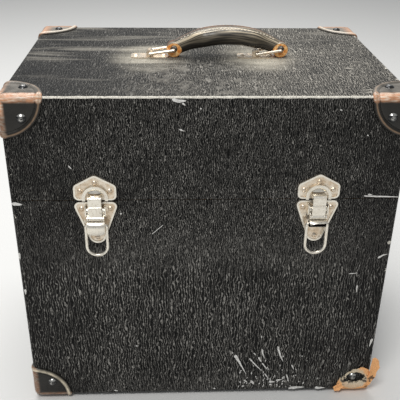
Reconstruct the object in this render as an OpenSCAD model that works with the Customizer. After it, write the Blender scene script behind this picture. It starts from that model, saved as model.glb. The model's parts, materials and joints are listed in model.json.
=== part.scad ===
// Portable film projector shut in its carrying case: a leathercloth-covered plywood
// case with a hinged lid, draw latches, leather corners and a drop handle, and the
// projector that stands inside it. Millimetres, +Z up, front of the case towards -Y,
// origin on the floor under the middle of the whole object.

/* [Case] */
// Outside width of the case
case_w = 380; // [365:1:440]
// Outside depth of the case
case_d = 264; // [256:1:320]
// Outside height of the case, feet left out
case_h = 354; // [340:1:420]
// Height of the lid, from the seam to the top
lid_h = 105; // [70:1:130]
// Radius of the covered outside edges
edge_r = 3; // [2:0.5:5]
// Open line between lid and body
seam_gap = 0.8; // [0.4:0.1:2]
// Thickness of the plywood boards
board_t = 8; // [6:0.5:9]
// Thickness of the leathercloth covering
cover_t = 1; // [0.6:0.1:1.6]
// Thickness of the paper lining
lining_t = 0.8; // [0.5:0.1:1.2]
// Thickness of the wooden lip inside the rim
lip_t = 3; // [2:0.5:4]
// Height of the lip above the seam
lip_rise = 8; // [4:1:12]
// Depth of the lip below the seam
lip_drop = 30; // [15:1:50]

/* [Leather corners] */
// Radius of the corner leather on each face
cap_r = 40; // [32:1:50]
// Thickness of the corner leather
cap_t = 2.2; // [1.5:0.1:3]
// Distance of each corner nail from the two edges
nail_inset = 20; // [16:1:23]
// Radius of a corner nail's head
nail_head_r = 4.6; // [3.5:0.1:6]
// Height of a corner nail's head
nail_head_h = 2.6; // [1.8:0.1:3.5]

/* [Hinges] */
// Distance of each hinge from the middle
hinge_x = 115; // [70:1:130]
// Width of a hinge
hinge_w = 60; // [40:1:80]
// Height of one hinge leaf
leaf_h = 28; // [22:1:36]
// Thickness of a hinge leaf
leaf_t = 1.6; // [1.2:0.1:2]
// Outside radius of the hinge knuckles
knuckle_r = 3.6; // [3:0.1:4.5]
// Radius of the hinge pin
hinge_pin_r = 1.6; // [1.2:0.1:2]

/* [Latches] */
// Distance of each latch from the middle
latch_x = 108.5; // [70:0.5:125]
// Width of the latch plates
plate_w = 41; // [40:0.5:46]
// Thickness of the latch plates
plate_t = 1.2; // [1:0.1:1.4]
// Height of the keeper plate on the lid
keeper_h = 27; // [25:0.5:32]
// Height of the base plate on the body
latch_h = 47; // [45:0.5:54]
// Inside radius of the keeper's arch
arch_r = 9.5; // [9:0.1:10.5]
// Height of the keeper's arch above its plate
arch_h = 2.8; // [1.5:0.1:3]
// Width of the claw
claw_w = 12.8; // [11:0.1:13]
// Width of the lever
lever_w = 16.8; // [16.4:0.1:17.2]
// Radius of the pin that the lever turns on
lever_pin_r = 1.2; // [1:0.05:1.5]
// Radius of the claw's trunnion
trunnion_r = 1.1; // [0.9:0.05:1.3]
// Radius of the pull ring's wire
ring_wire_r = 1.5; // [1.2:0.1:1.8]
// Distance between the pull ring's leg centres
ring_w = 20.4; // [20:0.2:24]
// Length of the pull ring from its bar to its bow
ring_l = 34; // [28:1:40]

/* [Handle] */
// Distance between the two handle anchors
handle_span = 114; // [90:1:140]
// Length of a handle link between its two bars
link_l = 26; // [25:0.5:32]
// Radius of the link wire
link_wire_r = 1.5; // [1.2:0.1:1.8]
// Distance between the link's leg centres
link_w = 17; // [17:0.5:20]
// Width of the leather grip
grip_w = 25; // [20:0.5:28]
// Thickness of the leather grip
grip_t = 15.5; // [12:0.5:15.5]
// Rise of the grip's middle line above its ends
grip_rise = 15.5; // [15:0.5:24]
// Outside radius of the leather loop at each end
curl_r = 8; // [6.5:0.5:9]
// Width of the leather loop at each end
curl_w = 12.6; // [10:0.2:13]
// Length of a handle anchor plate
anchor_l = 40; // [36:1:44]
// Width of a handle anchor plate
anchor_w = 18; // [14:1:24]

/* [Projector body] */
// Length of the projector's base
base_l = 240; // [236:1:260]
// Depth of the projector's base
base_d = 152; // [150:1:158]
// Height of the projector's base
base_h = 28; // [24:1:34]
// Height of the light path above the case floor
optic_z = 174; // [165:1:180]
// Wall of the mechanism housing
house_wall = 3; // [2:0.5:4]
// Radius of the lamphouse
lamphouse_r = 42; // [36:0.5:42.5]
// Height of the lamphouse above the base
lamphouse_h = 208; // [195:1:215]
// Radius of the motor
motor_r = 28; // [22:0.5:28.5]
// Length of the motor
motor_l = 74; // [60:1:78]
// Distance of the reel spindles from the sprockets
arm_reach = 148; // [120:1:170]
// Width of a reel arm
arm_w = 14; // [12:0.5:16]
// Thickness of a reel arm
arm_t = 4; // [3:0.5:4]

/* [Projector drive] */
// Number of teeth on each drive gear
gear_teeth = 40; // [36:4:44]
// Module of the drive gears, pitch diameter over teeth
gear_module = 1.25; // [1.1:0.05:1.3]
// Radius of the drive shafts
shaft_r = 3; // [2.5:0.1:3.5]
// Radius of a film sprocket
sprocket_r = 11; // [9:0.5:13]
// Number of teeth on one side of a film sprocket
sprocket_teeth = 8; // [6:1:12]
// Radius of the shutter disc
shutter_r = 41; // [40:0.5:42]
// Radius of the shutter pulley under the belt
shutter_pulley_r = 12; // [10:0.5:14]
// Radius of the motor pulley under the belt
motor_pulley_r = 8; // [6.5:0.5:10]
// Width of the flat drive belt
belt_w = 5; // [3:0.5:6]
// Thickness of the flat drive belt
belt_t = 1.6; // [1:0.1:2.2]
// Radius of the hand knob on the main shaft
knob_r = 15; // [10:0.5:20]
// Radius of the reel spindles
spindle_r = 4; // [3:0.1:4.5]

/* [Projector optics] */
// Outside radius of the lens barrel
lens_r = 17; // [14:0.5:18]
// Length of the lens barrel
lens_l = 68; // [62:1:80]
// Outside radius of the light tunnel
tunnel_r = 12; // [10:0.5:13]
// Radius of the lamp bulb
bulb_r = 13; // [9:0.5:16]
// Radius of the carriage guide rods
guide_r = 2.5; // [2:0.1:3]

/* [Take-up reel] */
// Radius of the reel's flanges
reel_r = 89; // [64:1:92]
// Width between the reel's flanges
reel_gap = 17; // [12:0.5:20]
// Thickness of a reel flange
flange_t = 0.9; // [0.7:0.1:1.5]
// Radius of the reel's hub
hub_r = 27; // [20:1:32]

/* [Hidden] */
$fn = 64;
hull_fn = 32;
run_gap = 0.08;
seat_gap = 0.3;
touch = 0.01;
glue_line = 0.05;

// Latches: places are [outward from the front face, up from the seam]
lever_pin = [5, -8.5];
claw_pin = [9.8, -15];
ring_pin = [8.6, -23];
roll_r = ring_wire_r + 2;

// Main planes and places of the case, with the whole object centred on the origin
back_reach = 2 * knuckle_r;
front_reach = ring_pin[0] + roll_r;
case_y = (front_reach - back_reach) / 2;
front_y = case_y - case_d / 2;
back_y = case_y + case_d / 2;
bottom_z = cap_t + nail_head_h;
top_z = bottom_z + case_h;
seam_z = top_z - lid_h;
wall_t = cover_t + board_t + lining_t;
floor_z = bottom_z + wall_t;
cavity_x = case_w / 2 - wall_t;
cavity_front = front_y + wall_t;
cavity_back = back_y - wall_t;

// Corner nails
nail_shank_r = 1.2;

// Hinges: the case leaf has the two outer knuckles
knuckle_gap = 0.3;
knuckle_w = hinge_w / 3;
leaf_rivet_r = 1.3;
leaf_rivet_head_r = 2.6;
leaf_rivet_head_h = 1.2;
hinge_y = back_y + knuckle_r;

// Latch details
barrel_r = lever_pin_r + 1.7;
lever_t = 1.8;
lip_end = [10.4, -31];
lever_lip_t = 1.4;
lug_r = trunnion_r + 1.1;
lug_w = 1.6;
eye_r = trunnion_r + 0.9;
claw_t = 1.5;
claw_head = [2, 7.6];
claw_head_drop = 6;
cheek_t = 1.2;
cheek_in = lever_w / 2 + 0.5;
cheek_top = -3.5;
cheek_bottom = -13.5;
cheek_rise = 8;
plate_lobe = 5;
rim_w = 1.8;
rim_h = 0.7;
latch_tip_r = 8.5;
arch_band = 3;
arch_v = 4;
latch_rivet_r = 1.3;
latch_rivet_head_r = 2.6;
latch_rivet_head_h = 1.4;
keeper_rivet_drop = 8;
base_rivet_rise = 6.5;
keeper_rivets = [[0, keeper_h - keeper_rivet_drop], [-14.3, 10.4], [14.3, 10.4]];
base_rivets = [[-13.9, -8.6], [13.9, -8.6], [0, base_rivet_rise - latch_h]];
ring_bend = ring_wire_r + 0.3;

// Handle: the links lie over to the right and the grip rests on the lid
anchor_t = 1.2;
eye_wall = 2;
anchor_eye_r = link_wire_r + run_gap + eye_wall;
anchor_eye_w = 9;
anchor_z = anchor_eye_r + 0.9;
anchor_rivet_r = 1.4;
anchor_rivet_head_r = 3;
anchor_rivet_head_h = 1.4;
anchor_rivet_x = anchor_l / 2 - 5;
link_rest = asin((curl_r + seat_gap - anchor_z) / link_l);
grip_x = link_l * cos(link_rest);
curl_z = top_z + curl_r + seat_gap;
arc_r = (pow(handle_span / 2, 2) + pow(grip_rise, 2)) / (2 * grip_rise);
arc_z = curl_z + grip_rise - arc_r;
arc_half = asin(handle_span / 2 / arc_r);
grip_round = 6.5;
neck_l = 20;
taper_l = 14;

// Projector: places are measured from the middle of its base on the case floor
proj_x = -cavity_x + base_l / 2 + 8;
proj_y = cavity_back - base_d / 2 - 10;
base_r = 14;
base_wall = 4;
optic_y = -26;
gear_r = gear_teeth * gear_module / 2;
gear_w = 6;
gear_y = 6;
train_x = 30;
house_x0 = -22;
house_x1 = 62;
house_y0 = -8;
house_y1 = 52;
upper_z = optic_z + gear_r * 2;
lower_z = optic_z - gear_r * 2;
house_top = upper_z + gear_r + gear_module + house_wall + 4;
cover_plate_t = 3.5;
boss_r = shaft_r + 3;
boss_l = 4;
film_half = 10;
lamphouse_x = house_x0 - 8 - lamphouse_r;
lamphouse_t = 2;
lamphouse_top = base_h + lamphouse_h;
condenser_r = 14;
condenser_wall = 2;
condenser_end = -17.5;
shutter_x = -15;
shutter_t = 1.5;
shutter_y = 8;
belt_gap = 7;
belt_x = house_x0 - belt_gap;
shutter_hub = 8;
motor_bore = 10;
motor_shaft_in = 9;
pulley_w = 8;
pulley_rim = 2.6;
motor_y = 45;
motor_z = base_h + motor_r + 4;
motor_x1 = belt_x - pulley_w / 2 - 3;
gate_t = 3;
gate_gap = 1;
carriage_x = house_x1 + gate_t + gate_gap;
holder_l = 26;
holder_wall = 4;
guide_drop = lens_r + holder_wall + 9;
guide_boss_r = guide_r + 3;
guide_boss_l = 18;
guide_l = 38;
barrel_x = carriage_x + gate_t + 9;
barrel_wall = 2.5;
lens_flange_l = 16;
lens_flange_r = lens_r + 3;
supply_z = house_top - arm_w / 2 - 4;
takeup_z = base_h + arm_w / 2 + 14;
spindle_x = train_x + arm_reach;
switch_x = 80;
switch_z = base_h / 2;
switch_tilt = 14;
switch_ball_r = 4.3;
switch_boss_r = 6.5;
switch_boss_l = 6;
switch_pin_r = 0.9;
bat_r = 2.4;
bat_l = 15;
lamp_drop = 46;
lamp_rise = 26;
tunnel_foot_x0 = 10;
tunnel_foot_x1 = 40;
tunnel_foot_h = 12;
gate_front = 16;
gate_margin = 8;
motor_foot_inset = 14;
motor_foot_half = 16;
cap_skirt = 12;
cap_wall = 3;
reel_wall_gap = 20;
reel_x = -cavity_x + reel_wall_gap + reel_r;
window_back = 8;
window_l = 40;
slot_low = 12;
slot_drop = 34;
slot_in = 6;
slot_size = [10, 4, 16];
motor_cap_l = 8;
knob_l = 14;
cradle_l = 120;
cradle_wall = 5;
cradle_h = 30;
cradle_floor = 4;
reel_w = reel_gap + 2 * flange_t;
reel_y = cavity_front + lip_t + 3 + cradle_wall + reel_w / 2;
reel_z = floor_z + cradle_floor + reel_r + seat_gap;
reel_window_r = 15;
reel_windows = 5;

// Colours
leathercloth = "#1b1a19";
plywood = "#b99b6b";
lining_paper = "#4a4038";
corner_leather = "#2a211d";
nickel = "#cfc8b4";
black_lacquer = "#141414";
grip_leather = "#3a302a";
steel = "#a9abad";
crackle_black = "#222324";
aluminium = "#c3c5c7";
brass = "#b79a55";
glass = "#dfeaf0";
rubber = "#181818";

// Shapes used all over

module along_x() rotate([0, 90, 0]) children();
module along_y() rotate([-90, 0, 0]) children();

// A sketch in the YZ plane, raised along +X
module yz_sketch() rotate([90, 0, 90]) children();

module block(low, high) translate(low) cube(high - low);

module tube(r_out, r_in, h) difference() {
    cylinder(r = r_out, h = h);
    translate([0, 0, -1]) cylinder(r = r_in, h = h + 2);
}

// A flat bar of width t between two points of a sketch
module strut(a, b, t) translate(a) rotate(atan2(b[1] - a[1], b[0] - a[0]))
    translate([0, -t / 2]) square([norm(b - a), t]);

module rounded_rect(w, d, r) {
    square([w - 2 * r, d], center = true);
    square([w, d - 2 * r], center = true);
    for (x = [-1, 1], y = [-1, 1]) translate([x * (w / 2 - r), y * (d / 2 - r)]) circle(r);
}

// A block with all its edges rounded
module rounded_block(low, high, r) {
    size = high - low;
    inner = size - [2 * r, 2 * r, 2 * r];
    translate(low) {
        translate([0, r, r]) cube([size[0], inner[1], inner[2]]);
        translate([r, 0, r]) cube([inner[0], size[1], inner[2]]);
        translate([r, r, 0]) cube([inner[0], inner[1], size[2]]);
        for (x = [r, size[0] - r], y = [r, size[1] - r]) {
            translate([x, y, r]) cylinder(r = r, h = inner[2]);
            for (z = [r, size[2] - r]) translate([x, y, z]) sphere(r);
        }
        for (x = [r, size[0] - r], z = [r, size[2] - r])
            translate([x, r, z]) along_y() cylinder(r = r, h = inner[1]);
        for (y = [r, size[1] - r], z = [r, size[2] - r])
            translate([r, y, z]) along_x() cylinder(r = r, h = inner[0]);
    }
}

// A domed head on a shank: the head sits above z = 0 and the shank hangs below it
module dome_fastener(head_r, head_h, shank_r, grip) {
    ball_r = (head_r * head_r + head_h * head_h) / (2 * head_h);
    intersection() {
        translate([0, 0, head_h - ball_r]) sphere(ball_r);
        cylinder(r = head_r + 1, h = head_h + 1);
    }
    translate([0, 0, -grip]) cylinder(r = shank_r, h = grip + touch);
}

// The case carcass, covering and lining

module case_block(grow) rounded_block(
    [-case_w / 2 - grow, front_y - grow, bottom_z - grow],
    [case_w / 2 + grow, back_y + grow, top_z + grow], edge_r + grow);

// Everything below (side -1) or above (side 1) the seam's open line
module half_space(side) {
    far = 2 * case_h;
    z = side < 0 ? seam_z - seam_gap / 2 - far : seam_z + seam_gap / 2;
    translate([-far / 2, -far / 2, z]) cube(far);
}

// Five boards of a box: four walls standing on one flat panel
module five_boards(panel_z, wall_z, wall_h) {
    w = case_w - 2 * cover_t;
    x0 = -w / 2;
    y0 = front_y + cover_t;
    y1 = back_y - cover_t;
    block([x0, y0, panel_z], [-x0, y1, panel_z + board_t]);
    for (y = [y0, y1 - board_t]) translate([x0, y, wall_z]) cube([w, board_t, wall_h]);
    for (x = [x0, -x0 - board_t]) translate([x, y0 + board_t + glue_line, wall_z])
        cube([board_t, y1 - y0 - 2 * (board_t + glue_line), wall_h]);
}

module case_boards() color(plywood) {
    wall_z = bottom_z + cover_t + board_t + glue_line;
    five_boards(bottom_z + cover_t, wall_z, seam_z - seam_gap / 2 - wall_z);
}

module lid_boards() color(plywood) {
    wall_z = seam_z + seam_gap / 2;
    panel_z = top_z - cover_t - board_t;
    five_boards(panel_z, wall_z, panel_z - glue_line - wall_z);
}

module covering(side) color(leathercloth) difference() {
    intersection() {
        case_block(0);
        half_space(side);
    }
    block([-case_w / 2 + cover_t, front_y + cover_t, side < 0 ? bottom_z + cover_t : 0],
          [case_w / 2 - cover_t, back_y - cover_t, side < 0 ? top_z + 1 : top_z - cover_t]);
}

module lining(low, high, open_low, open_high) color(lining_paper) difference() {
    block(low, high);
    block(low + [lining_t, lining_t, open_low ? -1 : lining_t],
          high - [lining_t, lining_t, open_high ? -1 : lining_t]);
}

module case_lining() lining(
    [-cavity_x - lining_t, cavity_front - lining_t, floor_z - lining_t],
    [cavity_x + lining_t, cavity_back + lining_t, seam_z - seam_gap / 2], false, true);

module lid_lining() lining(
    [-cavity_x - lining_t, cavity_front - lining_t, seam_z + lip_rise + 4],
    [cavity_x + lining_t, cavity_back + lining_t, top_z - cover_t - board_t], true, false);

// Four wooden strips inside the rim that guide the lid on
module rim_lip() color(plywood) {
    z0 = seam_z - lip_drop;
    z1 = seam_z + lip_rise;
    for (y = [cavity_front, cavity_back - lip_t])
        block([-cavity_x, y, z0], [cavity_x, y + lip_t, z1]);
    for (x = [-cavity_x, cavity_x - lip_t])
        block([x, cavity_front + lip_t + glue_line, z0], [x + lip_t, cavity_back - lip_t - glue_line, z1]);
}

// Leather corners and their nails

// Places the children at each outside nail of the corners on one level, head outwards
module corner_nails_at(z, up, flat_faces, upright_faces) for (sx = [-1, 1], sy = [-1, 1]) {
    x = sx * (case_w / 2 - nail_inset);
    y = case_y + sy * (case_d / 2 - nail_inset);
    if (flat_faces) translate([x, y, z + up * cap_t]) rotate([up > 0 ? 0 : 180, 0, 0]) children();
    if (upright_faces) {
        translate([x, case_y + sy * (case_d / 2 + cap_t), z - up * nail_inset])
            rotate([-sy * 90, 0, 0]) children();
        translate([sx * (case_w / 2 + cap_t), y, z - up * nail_inset]) rotate([0, sx * 90, 0]) children();
    }
}

module corner_caps(z, up) color(corner_leather) difference() {
    intersection() {
        difference() {
            case_block(cap_t);
            case_block(0);
        }
        for (sx = [-1, 1], sy = [-1, 1])
            translate([sx * case_w / 2, case_y + sy * case_d / 2, z]) sphere(cap_r);
    }
    corner_nails_at(z, up, true, true)
        translate([0, 0, -2 * cap_t]) cylinder(r = nail_shank_r + run_gap, h = 3 * cap_t, $fn = hull_fn / 2);
}

module nail() color(black_lacquer) dome_fastener(nail_head_r, nail_head_h, nail_shank_r, cap_t);

module case_corner_caps() corner_caps(bottom_z, -1);
module lid_corner_caps() corner_caps(top_z, 1);
module case_corner_nails() corner_nails_at(bottom_z, -1, false, true) nail();
module lid_corner_nails() corner_nails_at(top_z, 1, true, true) nail();

// The nails under the case are its feet, worn flat where they meet the floor
module glide_feet() color(black_lacquer) corner_nails_at(bottom_z, -1, true, false) {
    flat_r = nail_head_r * 0.7;
    cylinder(r1 = nail_head_r, r2 = flat_r, h = nail_head_h);
    translate([0, 0, -cap_t]) cylinder(r = nail_shank_r, h = cap_t + touch);
}

// Hinges

module at_hinges() for (s = [-1, 1]) translate([s * hinge_x, hinge_y, seam_z]) children();

// Places the children on the three rivets of a leaf, head towards the back
module leaf_rivets_at(up) at_hinges() for (i = [-1:1])
    translate([i * (hinge_w / 2 - 8), leaf_t - knuckle_r, up * (leaf_h * 0.62 + (i == 0 ? 4 : 0))])
        along_y() children();

// up is 1 for the lid leaf and -1 for the case leaf; knuckles gives [start, width] along X
module hinge_leaves(up, knuckles, bore_r) color(nickel) difference() {
    at_hinges() difference() {
        union() {
            z0 = knuckle_r + knuckle_gap;
            translate([-hinge_w / 2, -knuckle_r, up > 0 ? z0 : -leaf_h]) cube([hinge_w, leaf_t, leaf_h - z0]);
            for (k = knuckles) translate([k[0], 0, 0]) {
                along_x() cylinder(r = knuckle_r, h = k[1]);
                translate([0, -knuckle_r, up > 0 ? 0 : -z0 - 1]) cube([k[1], leaf_t, z0 + 1]);
            }
        }
        translate([-hinge_w, 0, 0]) along_x() cylinder(r = bore_r, h = 2 * hinge_w);
    }
    leaf_rivets_at(up) translate([0, 0, -2 * leaf_t]) cylinder(r = leaf_rivet_r + run_gap, h = 4 * leaf_t);
}

module hinge_case_leaves() hinge_leaves(-1,
    [[-hinge_w / 2, knuckle_w - knuckle_gap], [hinge_w / 2 - knuckle_w + knuckle_gap, knuckle_w - knuckle_gap]],
    hinge_pin_r + run_gap / 4);

module hinge_lid_leaves() hinge_leaves(1, [[-knuckle_w / 2, knuckle_w]], hinge_pin_r + run_gap);

module hinge_pins() color(nickel) at_hinges() translate([-hinge_w / 2, 0, 0])
    along_x() cylinder(r = hinge_pin_r, h = hinge_w);

module leaf_rivet() color(nickel)
    dome_fastener(leaf_rivet_head_r, leaf_rivet_head_h, leaf_rivet_r, leaf_t);
module hinge_case_rivets() leaf_rivets_at(-1) leaf_rivet();
module hinge_lid_rivets() leaf_rivets_at(1) leaf_rivet();

// Draw latches

// On the front face at the seam: X stays across, Y is up and Z is outwards
module on_front(side) translate([side * latch_x, front_y, seam_z]) rotate([90, 0, 0]) children();

// Raises a sketch drawn as [outward, up] across the latch, centred on it
module across(width) rotate([0, -90, 0]) linear_extrude(width, center = true) children();

module plate_holes(places) for (p = places)
    translate([p[0], p[1], -1]) cylinder(r = latch_rivet_r + run_gap, h = plate_t + 2);

// A pressed plate: the outline given by the children's hull, with a raised rim
module pressed_plate(rivets) difference() {
    union() {
        linear_extrude(plate_t) children(0);
        linear_extrude(plate_t + rim_h) difference() {
            children(0);
            children(1);
        }
    }
    plate_holes(rivets);
}

// Outlines of the two plates, drawn in by the given margin
module keeper_outline(margin) hull() {
    lobe_x = plate_w / 2 - plate_lobe;
    r = plate_lobe - margin;
    translate([0, keeper_h - plate_lobe]) circle(r, $fn = hull_fn);
    for (x = [-lobe_x, lobe_x], y = [plate_lobe + 1, keeper_h / 2]) translate([x, y]) circle(r, $fn = hull_fn);
}

module base_outline(margin) hull() {
    lobe_x = plate_w / 2 - plate_lobe;
    for (x = [-lobe_x, lobe_x]) translate([x, -plate_lobe - 1]) circle(plate_lobe - margin, $fn = hull_fn);
    translate([0, latch_tip_r - latch_h]) circle(latch_tip_r - margin, $fn = hull_fn);
}

module keeper(side) color(nickel) on_front(side) {
    difference() {
        pressed_plate(keeper_rivets) {
            keeper_outline(0);
            keeper_outline(rim_w);
        }
        block([-arch_r, -1, plate_t], [arch_r, arch_v, plate_t + 2 * rim_h]);
    }
    translate([0, 0, plate_t - touch]) linear_extrude(arch_h + touch) difference() {
        union() {
            translate([0, arch_v]) circle(arch_r + arch_band);
            translate([-arch_r - arch_band, 1]) square([2 * (arch_r + arch_band), arch_v - 1]);
        }
        translate([0, arch_v]) circle(arch_r);
        translate([-arch_r, -arch_r]) square([2 * arch_r, arch_v + arch_r]);
        translate([-plate_w, 1 - plate_w]) square([2 * plate_w, plate_w]);
    }
}

module latch_base(side) color(nickel) on_front(side) {
    pressed_plate(base_rivets) {
        base_outline(0);
        base_outline(rim_w);
    }
    for (x = [-cheek_in - cheek_t, cheek_in])
        block([x, cheek_bottom, plate_t - touch], [x + cheek_t, cheek_top, cheek_rise]);
    translate([-cheek_in - cheek_t / 2, lever_pin[1], lever_pin[0]])
        along_x() cylinder(r = lever_pin_r, h = 2 * cheek_in + cheek_t);
}

module latch_lever(side) color(nickel) on_front(side) {
    across(lever_w) difference() {
        union() {
            translate(lever_pin) circle(barrel_r);
            strut(lever_pin, ring_pin, lever_t);
            translate(ring_pin) circle(roll_r);
            strut(ring_pin + [roll_r - lever_lip_t / 2, 0], lip_end, lever_lip_t);
            translate(lip_end) circle(lever_lip_t / 2);
        }
        translate(lever_pin) circle(lever_pin_r + run_gap);
        translate(ring_pin) circle(ring_wire_r + run_gap);
    }
    root = lever_pin + (ring_pin - lever_pin) * 0.55;
    for (x = [-1, 1]) translate([x * (lever_w - lug_w) / 2, 0, 0]) across(lug_w) difference() {
        union() {
            translate(claw_pin) circle(lug_r);
            strut(root, claw_pin, 2 * lug_r);
        }
        translate(claw_pin) circle(trunnion_r + run_gap);
    }
}

module latch_claw(side) color(nickel) on_front(side) {
    front = claw_pin[0] + claw_t / 2;
    across(claw_w) {
        translate(claw_pin) circle(eye_r);
        translate([front - claw_t, claw_pin[1]]) square([claw_t, claw_head[1] - claw_head_drop - claw_pin[1] + 1]);
        difference() {
            translate([claw_head[0], claw_head[1] - claw_head_drop])
                square([front - claw_head[0], claw_head_drop]);
            translate([front - 2, claw_head[1] - 2]) difference() {
                square(3);
                circle(2);
            }
        }
        translate([front, -3]) circle(0.8);
    }
    translate([-lever_w / 2, claw_pin[1], claw_pin[0]]) along_x() cylinder(r = trunnion_r, h = lever_w);
}

module latch_ring(side) color(nickel) on_front(side) translate([0, ring_pin[1], ring_pin[0]]) {
    half = ring_w / 2;
    leg = ring_l - half - ring_bend;
    translate([ring_bend - half, 0, 0]) along_x() cylinder(r = ring_wire_r, h = ring_w - 2 * ring_bend);
    for (m = [0, 1]) mirror([m, 0, 0]) {
        translate([half - ring_bend, -ring_bend, 0]) rotate_extrude(angle = 90)
            translate([ring_bend, 0]) circle(ring_wire_r);
        translate([half, -ring_bend, 0]) rotate([90, 0, 0]) cylinder(r = ring_wire_r, h = leg);
    }
    translate([0, -ring_bend - leg, 0]) rotate(180) rotate_extrude(angle = 180)
        translate([half, 0]) circle(ring_wire_r);
}

module latch_rivet_set(places) color(nickel) for (side = [-1, 1], p = places)
    on_front(side) translate([p[0], p[1], plate_t])
        dome_fastener(latch_rivet_head_r, latch_rivet_head_h, latch_rivet_r, plate_t);

// Handle

module at_anchors() for (s = [-1, 1]) translate([s * handle_span / 2, case_y, top_z]) children();

module anchor_rivets_at() at_anchors() for (s = [-1, 1])
    translate([s * anchor_rivet_x, 0, anchor_t]) children();

module handle_anchors() color(nickel) difference() {
    at_anchors() difference() {
        union() {
            linear_extrude(anchor_t) rounded_rect(anchor_l, anchor_w, 5);
            translate([0, -anchor_eye_w / 2, anchor_z]) along_y() cylinder(r = anchor_eye_r, h = anchor_eye_w);
            block([-anchor_eye_r, -anchor_eye_w / 2, 0], [anchor_eye_r, anchor_eye_w / 2, anchor_z]);
        }
        translate([0, -anchor_w, anchor_z]) along_y() cylinder(r = link_wire_r + run_gap, h = 2 * anchor_w);
    }
    anchor_rivets_at() translate([0, 0, -2 * anchor_t])
        cylinder(r = anchor_rivet_r + run_gap, h = 3 * anchor_t);
}

module anchor_rivets() color(nickel) anchor_rivets_at()
    dome_fastener(anchor_rivet_head_r, anchor_rivet_head_h, anchor_rivet_r, anchor_t);

module handle_link(side) color(nickel)
    translate([side * handle_span / 2, case_y, top_z + anchor_z]) rotate([0, -link_rest, 0]) {
        for (x = [0, link_l]) translate([x, -link_w / 2, 0]) along_y() cylinder(r = link_wire_r, h = link_w);
        for (y = [-1, 1]) translate([0, y * link_w / 2, 0]) {
            along_x() cylinder(r = link_wire_r, h = link_l);
            for (x = [0, link_l]) translate([x, 0, 0]) sphere(link_wire_r);
        }
    }

// The grip seen from above: full width in the middle, narrowed to a neck before each loop
module grip_plan() {
    neck_x = handle_span / 2 - neck_l;
    for (s = [-1, 1]) scale([1, s]) polygon([
        [-handle_span / 2, 0], [-handle_span / 2, curl_w / 2], [-neck_x, curl_w / 2],
        [taper_l - neck_x, grip_w / 2], [neck_x - taper_l, grip_w / 2],
        [neck_x, curl_w / 2], [handle_span / 2, curl_w / 2], [handle_span / 2, 0]
    ]);
}

module handle_grip() color(grip_leather) difference() {
    union() {
        intersection() {
            translate([grip_x, case_y, arc_z]) rotate([90, 0, 0]) rotate(90 - arc_half)
                rotate_extrude(angle = 2 * arc_half)
                    translate([arc_r, 0]) rounded_rect(grip_t, grip_w, grip_round);
            translate([grip_x, case_y, top_z]) linear_extrude(curl_r + grip_rise + grip_t) grip_plan();
        }
        for (s = [-1, 1]) translate([grip_x + s * handle_span / 2, case_y - curl_w / 2, curl_z])
            along_y() cylinder(r = curl_r, h = curl_w);
    }
    for (s = [-1, 1]) translate([grip_x + s * handle_span / 2, case_y - grip_w, curl_z])
        along_y() cylinder(r = link_wire_r + (s < 0 ? run_gap : seat_gap), h = 2 * grip_w);
}

// The projector

module at_projector() translate([proj_x, proj_y, floor_z]) children();

// The pivot of the power switch
module at_switch() translate([switch_x, -base_d / 2 - switch_boss_l / 2, switch_z]) children();

// Cast base, hollow underneath, with a bushing and a pivot pin for the power switch in front
module projector_base() color(crackle_black) at_projector() difference() {
    union() {
        linear_extrude(base_h) rounded_rect(base_l, base_d, base_r);
        translate([switch_x, -base_d / 2 + 1, switch_z]) rotate([90, 0, 0])
            cylinder(r = switch_boss_r, h = switch_boss_l + 1);
    }
    translate([0, 0, -1]) linear_extrude(base_h - base_wall + 1)
        rounded_rect(base_l - 2 * base_wall, base_d - 2 * base_wall, base_r - base_wall);
    difference() {
        translate([switch_x, -base_d / 2 + base_wall + 1, switch_z]) rotate([90, 0, 0])
            cylinder(r = switch_ball_r + seat_gap, h = base_wall + switch_boss_l + 2);
        at_switch() translate([-switch_boss_r, 0, 0]) along_x() cylinder(r = switch_pin_r, h = 2 * switch_boss_r);
    }
}

// Centres of the three shafts of the gear train, as [x, z]
train = [[train_x, lower_z], [train_x, optic_z], [train_x, upper_z]];

module mechanism_housing() color(crackle_black) at_projector() difference() {
    union() {
        difference() {
            block([house_x0, house_y0, base_h], [house_x1, house_y1, house_top]);
            block([house_x0 + house_wall, house_y0 + house_wall, base_h + house_wall],
                  [house_x1 - house_wall, house_y1 + 1, house_top - house_wall]);
        }
        for (z = [lower_z, upper_z]) translate([train_x, house_y0 - boss_l, z])
            along_y() cylinder(r = boss_r, h = boss_l + 1);
        translate([train_x, house_y0 + house_wall - 1, optic_z]) along_y() cylinder(r = boss_r, h = boss_l + 1);
    }
    for (z = [lower_z, upper_z]) translate([train_x, house_y0 - 2 * boss_l, z])
        along_y() cylinder(r = shaft_r + run_gap, h = 4 * boss_l);
    translate([train_x, house_y0 + house_wall, optic_z]) along_y() cylinder(r = shaft_r + run_gap, h = 2 * boss_l);
    translate([house_x0 - 1, shutter_y, optic_z]) along_x()
        cylinder(r = shaft_r + run_gap, h = house_wall + 2);
    translate([shutter_x - 2, shutter_y, optic_z]) along_x() cylinder(r = shutter_r + 2, h = shutter_t + 4);
}

module mechanism_cover() color(crackle_black) at_projector() difference() {
    block([house_x0, house_y1, base_h], [house_x1, house_y1 + cover_plate_t, house_top]);
    translate([train_x, house_y1 - 1, optic_z]) along_y() cylinder(r = shaft_r + run_gap, h = cover_plate_t + 2);
}

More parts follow.
